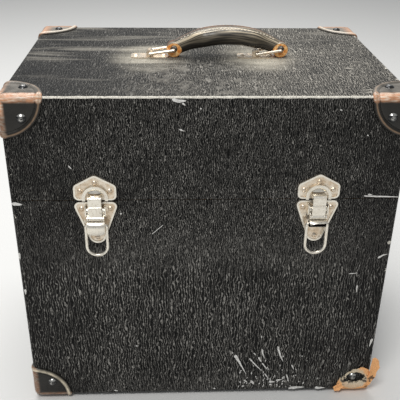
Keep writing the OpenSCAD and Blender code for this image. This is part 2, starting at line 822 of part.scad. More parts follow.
// Light tunnel, aperture plate and the two rods that guide the lens carriage
module film_gate() color(aluminium) at_projector() {
    difference() {
        union() {
            translate([shutter_x + 6, optic_y, optic_z]) along_x()
                cylinder(r = tunnel_r, h = house_x1 - shutter_x - 6 + touch);
            block([tunnel_foot_x0, optic_y + tunnel_r - 2, optic_z - tunnel_foot_h / 2],
                  [tunnel_foot_x1, house_y0, optic_z + tunnel_foot_h / 2]);
            block([house_x1, optic_y - gate_front, optic_z - guide_drop - gate_margin],
                  [house_x1 + gate_t, house_y0 + gate_margin, optic_z + guide_drop + gate_margin]);
        }
        translate([shutter_x, optic_y, optic_z]) along_x()
            cylinder(r = tunnel_r - 1.5, h = house_x1 - shutter_x - 1);
        block([house_x1 - 2, optic_y - 5, optic_z - 3.8], [house_x1 + gate_t + 1, optic_y + 5, optic_z + 3.8]);
    }
    for (s = [-1, 1]) translate([house_x1 + gate_t - touch, optic_y, optic_z + s * guide_drop])
        along_x() cylinder(r = guide_r, h = guide_l);
}

// A round lens along X, bulged on both sides
module lens_element(x, r, thick, bulge) {
    ball_r = (r * r + bulge * bulge) / (2 * bulge);
    translate([x, optic_y, optic_z]) along_x() rotate_extrude() intersection() {
        square([r, thick]);
        translate([0, ball_r]) circle(ball_r, $fn = 360);
        translate([0, thick - ball_r]) circle(ball_r, $fn = 360);
    }
}

module condenser_lens() color(glass) at_projector()
    lens_element(condenser_end - 9, condenser_r - condenser_wall - run_gap, 7, 2.5);

module lamphouse() color(crackle_black) at_projector() {
    window_r = condenser_r - condenser_wall;
    slots = 12;
    difference() {
        union() {
            translate([lamphouse_x, optic_y, base_h]) cylinder(r = lamphouse_r, h = lamphouse_h);
            translate([lamphouse_x + lamphouse_r - 4, optic_y, optic_z]) along_x()
                cylinder(r = condenser_r, h = condenser_end - lamphouse_x - lamphouse_r + 4);
        }
        translate([lamphouse_x, optic_y, base_h - 1])
            cylinder(r = lamphouse_r - lamphouse_t, h = lamphouse_h + 2);
        translate([lamphouse_x + lamphouse_r - window_back, optic_y, optic_z])
            along_x() cylinder(r = window_r, h = window_l);
        for (i = [0 : slots - 1], z = [base_h + slot_low, lamphouse_top - slot_drop])
            translate([lamphouse_x, optic_y, z]) rotate((i + 0.5) * 360 / slots)
                translate([lamphouse_r - slot_in, -slot_size[1] / 2, 0]) cube(slot_size);
    }
}

module lamphouse_cap() color(crackle_black) at_projector() translate([lamphouse_x, optic_y, lamphouse_top]) {
    cap_out = lamphouse_r + seat_gap + cap_wall;
    tier_r = lamphouse_r * 0.7;
    translate([0, 0, -cap_skirt]) tube(cap_out, lamphouse_r + seat_gap, cap_skirt + seat_gap + touch);
    difference() {
        union() {
            translate([0, 0, seat_gap]) cylinder(r = cap_out, h = cap_wall);
            translate([0, 0, seat_gap]) cylinder(r = tier_r, h = cap_wall + 11);
        }
        translate([0, 0, -1]) cylinder(r = tier_r - cap_wall, h = cap_wall + 9);
        for (i = [0:11]) rotate(i * 30) translate([tier_r - 6, -2, cap_wall + 2]) cube([10, 4, 6]);
    }
}

module lamp() color(glass) at_projector() translate([lamphouse_x, optic_y, 0]) difference() {
    low = optic_z - lamp_drop;
    high = optic_z + lamp_rise;
    union() {
        translate([0, 0, low]) cylinder(r = bulb_r, h = high - low);
        translate([0, 0, high]) sphere(bulb_r);
    }
    translate([0, 0, low + 2]) cylinder(r = bulb_r - 1, h = high - low - 2);
    translate([0, 0, high]) sphere(bulb_r - 1);
}

module lamp_socket() color(brass) at_projector() translate([lamphouse_x, optic_y, base_h]) {
    cylinder(r = bulb_r + 5, h = 6);
    cylinder(r = bulb_r - 2, h = optic_z - lamp_drop - base_h);
}

module motor() color(crackle_black) at_projector() {
    translate([motor_x1 - motor_l, motor_y, motor_z]) along_x() difference() {
        union() {
            translate([0, 0, motor_cap_l]) cylinder(r = motor_r, h = motor_l - 2 * motor_cap_l);
            cylinder(r = motor_r - 3, h = motor_l);
        }
        translate([0, 0, motor_l - motor_bore]) cylinder(r = shaft_r + run_gap, h = 1.1 * motor_bore);
    }
    block([motor_x1 - motor_l + motor_foot_inset, motor_y - motor_foot_half, base_h],
          [motor_x1 - motor_foot_inset, motor_y + motor_foot_half, motor_z - motor_r + 6]);
}

// The area inside a taut band round the motor pulley and the shutter pulley
module belt_loop(grow) hull() {
    circle(motor_pulley_r + grow);
    translate([shutter_y - motor_y, optic_z - motor_z]) circle(shutter_pulley_r + grow);
}

module drive_belt() color(rubber) at_projector() translate([belt_x - belt_w / 2, motor_y, motor_z])
    yz_sketch() linear_extrude(belt_w) difference() {
        belt_loop(seat_gap + belt_t);
        belt_loop(seat_gap);
    }

// A reel arm along +X in front of the housing, with a bearing at its end
module reel_arm(z) color(crackle_black) at_projector()
    translate([0, house_y0, z]) rotate([90, 0, 0]) linear_extrude(arm_t) difference() {
        union() {
            translate([train_x, -arm_w / 2]) square([arm_reach, arm_w]);
            translate([train_x, 0]) circle(arm_w / 2);
            translate([spindle_x, 0]) circle(arm_w / 2);
        }
        translate([spindle_x, 0]) circle(spindle_r + run_gap);
    }

// Shaft for a film reel: flange in front of the arm, drive pulley behind it
module reel_spindle(z) color(steel) at_projector() translate([spindle_x, house_y0 - arm_t, z]) along_y() {
    front = arm_t + optic_y - film_half - 8;
    translate([0, 0, front - house_y0]) cylinder(r = spindle_r, h = arm_t + 10 - front + house_y0);
    translate([0, 0, -seat_gap - 4]) cylinder(r = spindle_r + 5, h = 4);
    translate([0, 0, arm_t + seat_gap]) difference() {
        cylinder(r = spindle_r + 9, h = 7);
        translate([0, 0, 3.5]) rotate_extrude() translate([spindle_r + 9, 0]) circle(2);
    }
}

module takeup_reel() color(steel) translate([reel_x, reel_y, reel_z]) along_y() {
    for (s = [-1, 1]) translate([0, 0, s > 0 ? reel_gap / 2 : -reel_w / 2]) difference() {
        cylinder(r = reel_r, h = flange_t);
        translate([0, 0, -1]) cylinder(r = spindle_r + 0.2, h = flange_t + 2);
        for (i = [0 : reel_windows - 1]) rotate(i * 360 / reel_windows)
            translate([(reel_r + hub_r) / 2, 0, -1]) cylinder(r = reel_window_r, h = flange_t + 2);
    }
    translate([0, 0, glue_line - reel_gap / 2]) tube(hub_r, spindle_r + 0.2, reel_gap - 2 * glue_line);
}

// Wooden block that the reel stands in
module reel_cradle() color(plywood) difference() {
    translate([reel_x - cradle_l / 2, reel_y - reel_w / 2 - cradle_wall, floor_z])
        cube([cradle_l, reel_w + 2 * cradle_wall, cradle_h]);
    translate([reel_x, reel_y - reel_w / 2 - seat_gap, reel_z]) along_y()
        cylinder(r = reel_r + seat_gap, h = reel_w + 2 * seat_gap);
}

// Moving pieces of the projector

// Straight-flanked gear drawn so that its teeth keep clear of an equal gear in mesh
module gear_sketch(turn) {
    root_r = gear_r - 1.25 * gear_module;
    tip_r = gear_r + 0.8 * gear_module;
    root_half = 0.31 * 360 / gear_teeth;
    tip_half = 0.11 * 360 / gear_teeth;
    flank = [[root_r, -root_half], [tip_r, -tip_half], [tip_r, tip_half], [root_r, root_half]];
    polygon([for (i = [0 : gear_teeth - 1], p = flank)
        let (a = turn + i * 360 / gear_teeth + p[1]) p[0] * [cos(a), sin(a)]]);
}

// Shaft, gear and hand knob that turn the mechanism
module main_shaft() color(steel) at_projector() translate([train_x, 0, optic_z]) {
    tail = house_y1 + cover_plate_t;
    start = house_y0 + house_wall + seat_gap;
    translate([0, start, 0]) along_y() cylinder(r = shaft_r, h = tail + knob_l - start);
    translate([0, gear_y + gear_w, 0]) rotate([90, 0, 0]) linear_extrude(gear_w) gear_sketch(90);
    translate([0, tail + seat_gap, 0]) along_y() difference() {
        cylinder(r = knob_r, h = knob_l);
        for (i = [0:17]) rotate(i * 20) translate([knob_r + 0.8, 0, -1]) cylinder(r = 1.6, h = knob_l + 2);
    }
}

// Film sprocket, its shaft and its gear
module film_sprocket(z) color(steel) at_projector() translate([train_x, 0, z]) {
    tail = gear_y + gear_w + 4;
    front = optic_y - film_half;
    translate([0, front - 2, 0]) along_y() cylinder(r = shaft_r, h = tail - front + 2);
    translate([0, gear_y + gear_w, 0]) rotate([90, 0, 0]) linear_extrude(gear_w)
        gear_sketch(90 + 180 / gear_teeth);
    translate([0, front, 0]) along_y() {
        difference() {
            cylinder(r = sprocket_r, h = 2 * film_half);
            translate([0, 0, 5]) tube(sprocket_r + 1, sprocket_r - 2.5, 2 * film_half - 10);
        }
        for (i = [0 : sprocket_teeth - 1], h = [1.5, 2 * film_half - 3]) rotate(i * 360 / sprocket_teeth)
            translate([sprocket_r - 1, -0.7, h]) cube([2.4, 1.4, 1.5]);
    }
}

// Flanged belt pulley
module pulley(r) difference() {
    cylinder(r = r + pulley_rim, h = pulley_w);
    translate([0, 0, (pulley_w - belt_w) / 2 - seat_gap])
        tube(r + pulley_rim + 1, r, belt_w + 2 * seat_gap);
}

// Three-bladed shutter on its shaft, with the pulley outside the housing
module shutter() color(steel) at_projector() translate([0, shutter_y, optic_z]) {
    pulley_x = belt_x - pulley_w / 2;
    translate([pulley_x, 0, 0]) along_x() {
        cylinder(r = shaft_r, h = shutter_x + shutter_hub - pulley_x);
        pulley(shutter_pulley_r);
    }
    translate([shutter_x, 0, 0]) along_x() difference() {
        cylinder(r = shutter_r, h = shutter_t);
        for (i = [0:2]) rotate(i * 120) intersection() {
            translate([0, 0, -1]) tube(shutter_r + 1, boss_r + 6, shutter_t + 2);
            rotate(25) translate([0, 0, -1]) cube([shutter_r + 2, shutter_r + 2, shutter_t + 2]);
            rotate(-25) translate([0, 0, -1]) cube([shutter_r + 2, shutter_r + 2, shutter_t + 2]);
        }
    }
}

module motor_pulley() color(steel) at_projector() translate([0, motor_y, motor_z]) along_x() {
    translate([0, 0, motor_x1 - motor_shaft_in])
        cylinder(r = shaft_r, h = belt_x - motor_x1 + motor_shaft_in + pulley_w / 2);
    translate([0, 0, belt_x - pulley_w / 2]) pulley(motor_pulley_r);
}

// Pressure plate and lens holder, which slide forward on the rods to open the gate
module lens_carriage() color(aluminium) at_projector() difference() {
    union() {
        block([carriage_x, optic_y - 14, optic_z - guide_drop - guide_boss_r],
              [carriage_x + gate_t, optic_y + 14, optic_z + guide_drop + guide_boss_r]);
        translate([carriage_x, optic_y, optic_z]) along_x() cylinder(r = lens_r + holder_wall, h = holder_l);
        for (s = [-1, 1]) translate([carriage_x, optic_y, optic_z + s * guide_drop])
            along_x() cylinder(r = guide_boss_r, h = guide_boss_l);
    }
    translate([carriage_x + gate_t, optic_y, optic_z]) along_x() cylinder(r = lens_r + run_gap, h = holder_l);
    block([carriage_x - 1, optic_y - 5, optic_z - 3.8], [carriage_x + gate_t + 1, optic_y + 5, optic_z + 3.8]);
    for (s = [-1, 1]) translate([carriage_x - 1, optic_y, optic_z + s * guide_drop])
        along_x() cylinder(r = guide_r + run_gap, h = guide_boss_l + 2);
}

module lens_barrel() color(brass) at_projector() translate([barrel_x, optic_y, optic_z]) along_x() difference() {
    union() {
        cylinder(r = lens_r, h = lens_l);
        translate([0, 0, lens_l - lens_flange_l]) cylinder(r = lens_flange_r, h = lens_flange_l);
    }
    translate([0, 0, -1]) cylinder(r = lens_r - barrel_wall, h = lens_l + 2);
    for (i = [0:23]) rotate(i * 15) translate([lens_flange_r + 0.6, 0, lens_l - lens_flange_l + 3])
        cylinder(r = 1.3, h = lens_flange_l - 6);
}

module lens_glass() color(glass) at_projector() for (x = [barrel_x + 4, barrel_x + lens_l - 12])
    lens_element(x, lens_r - barrel_wall - run_gap, 8, 2.5);

// Bat lever of the power switch, tilted down at rest
module power_switch() color(steel) at_projector() at_switch() difference() {
    rotate([90 + switch_tilt, 0, 0]) {
        sphere(switch_ball_r);
        cylinder(r1 = 1.6, r2 = bat_r, h = bat_l);
        translate([0, 0, bat_l]) sphere(bat_r);
    }
    translate([-switch_boss_r, 0, 0]) along_x() cylinder(r = switch_pin_r + run_gap, h = 2 * switch_boss_r);
}

case_boards();
covering(-1);  // case_covering
case_lining();
rim_lip();
case_corner_caps();
case_corner_nails();
glide_feet();
hinge_case_leaves();
hinge_pins();
hinge_case_rivets();
latch_base(-1);  // latch_base_left
latch_base(1);  // latch_base_right
latch_rivet_set(base_rivets);  // latch_rivets
lid_boards();
covering(1);  // lid_covering
lid_lining();
lid_corner_caps();
lid_corner_nails();
hinge_lid_leaves();
hinge_lid_rivets();
keeper(-1);  // keeper_left
keeper(1);  // keeper_right
latch_rivet_set(keeper_rivets);
handle_anchors();
anchor_rivets();
latch_lever(-1);  // latch_lever_left
latch_lever(1);  // latch_lever_right
latch_claw(-1);  // latch_claw_left
latch_claw(1);  // latch_claw_right
latch_ring(-1);  // latch_ring_left
latch_ring(1);  // latch_ring_right
handle_grip();
handle_link(-1);  // handle_link_left
handle_link(1);  // handle_link_right
projector_base();
mechanism_housing();
mechanism_cover();
film_gate();
condenser_lens();
lamphouse();
lamp();
lamp_socket();
motor();
drive_belt();
reel_arm(supply_z);  // supply_arm
reel_arm(takeup_z);  // takeup_arm
takeup_reel();
reel_cradle();
main_shaft();
film_sprocket(upper_z);  // upper_sprocket
film_sprocket(lower_z);  // lower_sprocket
shutter();
motor_pulley();
reel_spindle(supply_z);  // supply_spindle
reel_spindle(takeup_z);  // takeup_spindle
lens_carriage();
lens_barrel();
lens_glass();
lamphouse_cap();
power_switch();
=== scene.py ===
"""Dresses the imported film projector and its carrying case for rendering.

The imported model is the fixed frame: its solids keep their places and get materials, and
the soft or worn pieces are modelled here and stand for their solids.
Lengths are metres in the frame's axes: +X right, +Y to the back of the case, +Z up.
"""

import json
import math
import random
from functools import partial

import bmesh
import bpy
from mathutils import Matrix, Vector, noise


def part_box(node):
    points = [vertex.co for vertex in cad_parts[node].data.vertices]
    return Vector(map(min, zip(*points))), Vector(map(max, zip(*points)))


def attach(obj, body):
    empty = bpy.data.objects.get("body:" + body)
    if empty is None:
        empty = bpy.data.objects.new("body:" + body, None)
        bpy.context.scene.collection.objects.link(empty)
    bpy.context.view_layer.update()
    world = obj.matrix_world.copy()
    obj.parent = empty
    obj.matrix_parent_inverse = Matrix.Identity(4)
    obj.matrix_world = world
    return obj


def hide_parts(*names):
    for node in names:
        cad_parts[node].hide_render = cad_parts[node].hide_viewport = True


bl_info = {
    "name": "Film Projector Case",
    "version": (1, 0, 0),
    "blender": (4, 5, 0),
    "location": "View3D > Sidebar > Projector Case",
    "description": "Builds the worn looks of a film projector in its carrying case",
    "category": "Object",
}

MM = 0.001
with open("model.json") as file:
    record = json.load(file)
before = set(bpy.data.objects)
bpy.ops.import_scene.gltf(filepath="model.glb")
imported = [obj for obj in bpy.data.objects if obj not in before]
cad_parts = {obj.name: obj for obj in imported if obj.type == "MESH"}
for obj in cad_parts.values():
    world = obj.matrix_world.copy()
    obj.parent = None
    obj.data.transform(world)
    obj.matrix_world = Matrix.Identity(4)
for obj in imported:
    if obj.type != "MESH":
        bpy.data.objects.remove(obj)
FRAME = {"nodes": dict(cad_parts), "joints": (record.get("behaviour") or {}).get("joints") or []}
NODES = FRAME["nodes"]
JOINTS = {joint["name"]: joint for joint in FRAME["joints"]}
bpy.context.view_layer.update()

# The case's main planes, read from the frame
BODY_LOW, BODY_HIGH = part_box("case_covering")
LID_LOW, LID_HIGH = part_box("lid_covering")
FRONT_Y = BODY_LOW.y
BACK_Y = BODY_HIGH.y
SIDE_X = BODY_HIGH.x
BASE_Z = BODY_LOW.z
TOP_Z = LID_HIGH.z
SEAM_Z = (BODY_HIGH.z + LID_LOW.z) / 2
MID_Y = (FRONT_Y + BACK_Y) / 2
FRONT_TOP = TOP_Z - FRONT_Y  # z - y along the lid's long front edge
CASE_MIDDLE = Vector((0, MID_Y, (BASE_Z + TOP_Z) / 2))
CASE_HALF = Vector((SIDE_X, (BACK_Y - FRONT_Y) / 2, (TOP_Z - BASE_Z) / 2))
COVERING_RADIUS = 3.0 * MM

# The recess of the latches' pressed plates and their rims, above the covering
PLATE_RECESS = 1.2 * MM
PLATE_RIM = 1.9 * MM

# The handle: its anchors stand either side of the lid's middle, its loops on the links' ends,
# and its padding swells a little over the solid. The loops' holes are wider than the wire and
# stand a little above it.
ANCHOR_X = abs(JOINTS["handle_link_left"]["pos_m"][0])
LOOP = Vector(JOINTS["handle_grip"]["pos_m"])
GRIP_X = LOOP.x + ANCHOR_X
GRIP_SWELL = 1.2 * MM
GRIP_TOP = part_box("handle_grip")[1].z + GRIP_SWELL
HOLE_RADIUS = 3.1 * MM
HOLE_LIFT = 1.1 * MM

PHOTO_PIXELS = 400
SENSOR_WIDTH = 36.0
FLOOR_HALF = 6.0
WELD = 0.002 * MM
SHARP_ANGLE = math.radians(42)


def linear(hex_colour):
    """Turns an sRGB hex colour into linear RGBA."""
    channels = [int(hex_colour[i : i + 2], 16) / 255 for i in (1, 3, 5)]
    return (
        *[c / 12.92 if c <= 0.04045 else ((c + 0.055) / 1.055) ** 2.4 for c in channels],
        1.0,
    )


# Settings that a user would change


def colour_setting(name, description, hex_colour):
    """A colour of the settings."""
    return bpy.props.FloatVectorProperty(
        name=name,
        description=description,
        subtype="COLOR",
        size=4,
        min=0.0,
        max=1.0,
        default=linear(hex_colour),
    )


def length_setting(name, description, millimetres):
    """A length of the settings."""
    return bpy.props.FloatProperty(
        name=name, description=description, unit="LENGTH", default=millimetres * MM
    )


def angle_setting(name, description, radians):
    """An angle of the settings."""
    return bpy.props.FloatProperty(
        name=name, description=description, subtype="ANGLE", default=radians
    )


class FinishSettings(bpy.types.PropertyGroup):
    """Colours of the case and its fittings."""

    cloth: colour_setting("Leathercloth", "Flats of the black covering", "#050505")
    # The crests' colour is partly rubbed wear and partly a painted highlight
    crest_wear_and_highlight: colour_setting("Leathercloth ridges", "Rubbed crests of its grain", "#96938d")
    dust: colour_setting("Dust", "Dust and rubbed cloth on the top", "#b3ada1")
    thread: colour_setting("Bare cloth", "Threads where the covering is worn off", "#d6d1c5")
    paint: colour_setting("Paint", "Splashed paint on the front", "#e9e7e2")
    leather: colour_setting("Corner leather", "Dark finish of the corner leather", "#171614")
    raw_leather: colour_setting("Raw leather", "Leather whose finish is rubbed off", "#d59c77")
    torn_leather: colour_setting("Torn leather", "Fresh inside of the torn corner", "#ffbe80")
    grip: colour_setting("Grip leather", "Black finish of the grip", "#1a1714")
    nickel: colour_setting("Nickel", "Bright parts of the nickel plating", "#f4efe3")
    tarnish: colour_setting("Tarnish", "Film in the plating's recesses", "#c9a679")
    lacquer: colour_setting("Nail lacquer", "Black lacquer of the corner nails", "#1b1b1b")
    enamel: colour_setting("Enamel", "Crackle enamel of the projector", "#24262a")


class CornerSettings(bpy.types.PropertyGroup):
    """Sizes of the leather corners and of the paint."""

    reach: length_setting("Reach", "From the corner of the case to the leather's edge", 40.0)
    edge_radius: length_setting("Edge radius", "Rounding over the case's edges", 4.5)
    paint_height: length_setting("Paint height", "Thickness of the dried paint", 0.25)


class GripSettings(bpy.types.PropertyGroup):
    """Sizes of the leather grip."""

    width: length_setting("Width", "Width of the grip in the middle", 28.0)
    thickness: length_setting("Thickness", "Thickness of the grip in the middle", 19.0)
    neck_width: length_setting("Neck width", "Width of the end loops and beside them", 12.6)
    loop_radius: length_setting("Loop radius", "Outer radius of the end loops", 8.0)
    stitch_pitch: length_setting("Stitch pitch", "From one stitch to the next", 3.6)
    stitch_inset: length_setting("Stitch row", "From the grip's middle to a stitch row", 8.0)
    squareness: bpy.props.FloatProperty(
        name="Squareness",
        description="Shape of the section: 2 is an ellipse, more is squarer",
        default=2.5,
        min=2.0,
        max=4.0,
    )


class StageSettings(bpy.types.PropertyGroup):
    """Camera, floor and light."""

    camera_place: bpy.props.FloatVectorProperty(
        name="Camera place",
        description="Where the camera stands",
        subtype="TRANSLATION",
        unit="LENGTH",
        default=(-34.5 * MM, FRONT_Y - 573.0 * MM, BASE_Z + 550.4 * MM),
    )
    camera_yaw: angle_setting("Yaw", "Turn to the right of straight ahead", 0.0476)
    camera_pitch: angle_setting("Pitch", "Tilt below the horizon", 0.4844)
    camera_roll: angle_setting("Roll", "Lean about the line of sight", 0.0146)
    focal_pixels: bpy.props.FloatProperty(
        name="Focal length",
        description="Focal length in pixels of the square picture",
        subtype="PIXEL",
        default=664.6,
    )
    floor: colour_setting("Floor", "Colour of the floor", "#d9d8d5")


# Materials

MODE_SETTINGS = {"Mix": "data_type", "MapRange": "interpolation_type"}
WAVE_PERIOD = 0.314  # of a band texture, at a scale of 1


def add_node(tree, kind, *values, output=None, **named):
    """Adds a shader node and gives back its first shown output, or the one asked for.

    kind may end in the node's mode, and a mode alone is a Math node's. values go to the shown
    sockets in order, and can be other nodes' outputs or hex colours; where they are more than
    the sockets, copies of the node join them one by one. Capitalised names are sockets too,
    the rest are settings."""
    name, _, mode = ("Math " + kind if kind.isupper() else kind).partition(" ")
    made = tree.nodes.new("ShaderNode" + name)
    if mode:
        setattr(made, MODE_SETTINGS.get(name, "operation"), mode)
    shown = [socket for socket in made.inputs if socket.enabled]
    if len(values) > len(shown):
        values = (add_node(tree, kind, *values[:-1]), values[-1])
    given = list(zip(shown, values))
    for key, value in named.items():
        if key[0].isupper():
            given.append((made.inputs[key.replace("_", " ")], value))
        else:
            setattr(made, key, value)
    for socket, value in given:
        if isinstance(value, bpy.types.NodeSocket):
            tree.links.new(value, socket)
        else:
            socket.default_value = linear(value) if isinstance(value, str) else value
    if output:
        return made.outputs[output]
    return next((socket for socket in made.outputs if socket.enabled), None)


def make_material(name, surface, *settings):
    """A new material whose shader has the sockets that surface gives back.

    surface gets the node adder, the Object coordinates and its settings."""
    material = bpy.data.materials.new(name)
    material.use_nodes = True
    material.node_tree.nodes.clear()
    node = partial(add_node, material.node_tree)
    sockets = surface(node, node("TexCoord", output="Object"), *settings)
    node("OutputMaterial", node("BsdfPrincipled", **sockets))
    return material


def case_distance(node, place, to):
    """How far a point lies inward from the case's nearest "wall", "edge" or "corner"."""
    offset = node("VectorMath SUBTRACT", place, CASE_MIDDLE)
    inward = node("VectorMath SUBTRACT", CASE_HALF, node("VectorMath ABSOLUTE", offset))
    if to == "corner":
        return node("VectorMath LENGTH", inward)
    x, y, z = node("SeparateXYZ", inward).node.outputs
    if to == "wall":
        return node("MINIMUM", x, y, z)
    total = node("VectorMath DOT_PRODUCT", inward, (1.0, 1.0, 1.0))
    return node("SUBTRACT", total, node("MAXIMUM", x, y, z))


def leathercloth(node, place, finish):
    """Coated cloth embossed with a crinkle grain: black flats, thin crests lightened partly by
    rubbed wear and partly as a painted highlight, painted light and shade across the walls'
    crests, dust on top and pale threads where the edges have rubbed through."""
    x, y, z = node("SeparateXYZ", place).node.outputs
    across = node("ABSOLUTE", x)
    on_side = node("GREATER_THAN", across, SIDE_X - 1.2 * MM)
    on_top = node("MapRange", z, TOP_Z - 2.2 * MM, TOP_Z - 0.4 * MM)
    # Wavy crests run upright, 1.75 mm apart and broken, or 2.6 mm apart and longer in the
    # lower half of the walls and on top
    width = node("Mix", on_side, x, y)
    length = node("Mix", on_side, y, x)
    wall_place = node("CombineXYZ", width, length, z)
    wavy = {"Distortion": 13.0, "Detail": 3.0, "Detail_Scale": 1.3, "Detail_Roughness": 0.55}
    crests = []
    for spacing, slender, sharpness, least, most in (
        (1.75 * MM, 0.68, 3.3, 0.38, 1.0),
        (2.6 * MM, 0.44, 5.4, 0.52, 1.48),
    ):
        upright = node("Mapping", wall_place, Scale=(1.0, slender, slender))
        bands = node("TexWave", upright, WAVE_PERIOD / spacing, output="Fac", **wavy)
        gaps = node("TexNoise", upright, 1 / (1.6 * spacing), 1.0)
        whole = node("MapRange", gaps, 0.36, 0.6, least, most)
        rounded = node("POWER", bands, sharpness)
        crests.append(node("MULTIPLY", rounded, whole))
    off_band = node("ABSOLUTE", node("SUBTRACT", z, BASE_Z + 95 * MM))
    in_band = node("MapRange", off_band, 60 * MM, 120 * MM, 0.9, 0.0)
    longer = node("MAXIMUM", in_band, node("MULTIPLY", on_top, 0.5))
    crest = node("Mix", longer, *crests)
    # The crests are rubbed in patches, more below the seam, fainter towards the ends, and broken
    # by specks that are stretched as the longer ones are
    patches = node("TexNoise", place, 1 / (40 * MM), 4.0)
    speckle = node("TexNoise", upright, 1 / (1.1 * MM), 2.0)
    rubbed = node("MapRange", patches, 0.34, 0.64, 0.66, 1.24)
    broken = node("MapRange", speckle, 0.35, 0.65, 0.55, 1.25)
    below_seam = node("MapRange", z, SEAM_Z + 20 * MM, SEAM_Z - 20 * MM, 0.92, 1.1)
    smoother = node("MapRange", across, 95 * MM, 178 * MM, 1.06, 0.62)
    by_height = node("MULTIPLY", rubbed, below_seam)
    by_end = node("MULTIPLY", by_height, smoother)
    crest_light = node("MULTIPLY", crest, node("Mix", on_top, by_end, by_height))
    clear = node("MULTIPLY", crest_light, broken, use_clamp=True)
    # Painted light and shade: on the walls the crests are darker to the left, brightest right of
    # the middle and darker again at the right end
    painted_dimming_to_left = node("MapRange", x, -160 * MM, 90 * MM, 0.5, 1.1)
    painted_dimming_to_right_end = node("MapRange", x, 80 * MM, 170 * MM, 1.0, 0.7)
    painted_light_across = node("MULTIPLY", painted_dimming_to_left, painted_dimming_to_right_end)
    lit = node("MULTIPLY", clear, node("Mix", on_top, 1.0, painted_light_across))
    # The crests are lightened towards the crest colour: partly rubbed wear, partly a painted
    # highlight
    cloth = node("Mix RGBA", lit, finish.cloth, finish.crest_wear_and_highlight)
    # Dust lies on the top in long smooth streaks, in flecks at the right end, and bright round
    # the handle's anchors
    along = node("Mapping", place, Scale=(0.2, 1.0, 1.0))
    drift = node("TexNoise", along, 1 / (30 * MM), 3.0, Distortion=1.2)
    to_left = node("MapRange", x, -20 * MM, -150 * MM, 0.0, 0.09)
    to_back = node("MapRange", y, -60 * MM, 60 * MM, -0.12, 0.0)
    piled = node("ADD", to_left, to_back, drift)
    streak = node("MapRange SMOOTHSTEP", piled, 0.52, 0.78, 0.0, 0.4)
    to_right = node("MapRange", x, -150 * MM, 150 * MM, 0.0, 1.25)
    sprinkled = node("MULTIPLY", lit, to_right)
    grains = node("TexNoise", along, 1 / (4 * MM), 2.0)
    flecks = node("MapRange", grains, 0.69, 0.73)
    to_end = node("MapRange", x, 60 * MM, 175 * MM)
    sown = node("MAXIMUM", sprinkled, node("MULTIPLY", flecks, to_end))
    from_anchor = node("SUBTRACT", across, ANCHOR_X)
    from_middle = node("SUBTRACT", y, MID_Y - 3 * MM)
    halo_place = node("CombineXYZ", from_anchor, node("MULTIPLY", from_middle, 0.8))
    halo_reach = node("VectorMath LENGTH", halo_place)
    halo = node("MapRange SMOOTHSTEP", halo_reach, 8 * MM, 52 * MM, 0.95, 0.0)
    cloudy = node("MapRange", drift, 0.34, 0.62, 0.2, 1.1)
    bloom = node("MULTIPLY", halo, cloudy, on_top)
    # Hands have smudged the dust in front of the handle
    smudges = node("TexNoise", place, 1 / (17 * MM), 3.0, Distortion=1.6)
    smudged = node("MapRange SMOOTHSTEP", smudges, 0.44, 0.74, 0.0, 0.36)
    in_front = node("MapRange", y, MID_Y - 8 * MM, MID_Y - 30 * MM)
    in_reach = node("MapRange", across, 40 * MM, 110 * MM, 1.0, 0.0)
    smudge = node("MULTIPLY", in_front, in_reach, smudged)
    dusty = node("MULTIPLY", on_top, node("MAXIMUM", streak, smudge, sown))
    dulled = node("Mix RGBA", dusty, cloth, finish.dust)
    settled = node("Mix RGBA", bloom, dulled, "#d3cbb9")
    # The lid's long front edge is bare all along, the other edges are chipped here and there
    chips = node("TexNoise", place, 1 / (9 * MM), 4.0, 0.65)
    front_top = node("SUBTRACT", z, y)
    along_front = node("GREATER_THAN", front_top, FRONT_TOP - 6 * MM)
    at_end = node("MULTIPLY", to_end, on_top)
    more_chips = node("MULTIPLY_ADD", at_end, 0.09, chips)
    edge_reach = node("MapRange", more_chips, 0.6, 0.75, 0.0, 4.5 * MM)
    front_reach = node("MapRange", chips, 0.3, 0.66, 1.88 * MM, 2.3 * MM)
    chip_reach = node("MAXIMUM", edge_reach, front_reach)
    reach = node("Mix", along_front, edge_reach, chip_reach)
    bare = node("LESS_THAN", case_distance(node, place, "edge"), reach)
    gloss = node("MapRange", patches, 0.3, 0.7, 0.42, 0.56)
    return {
        "Base_Color": node("Mix RGBA", bare, settled, finish.thread),
        "Roughness": node("ADD", gloss, node("MULTIPLY", dusty, 0.35)),
        "Normal": node("Bump", 0.9, 0.8 * MM, Height=crest),
        "Specular_IOR_Level": 0.12,
    }


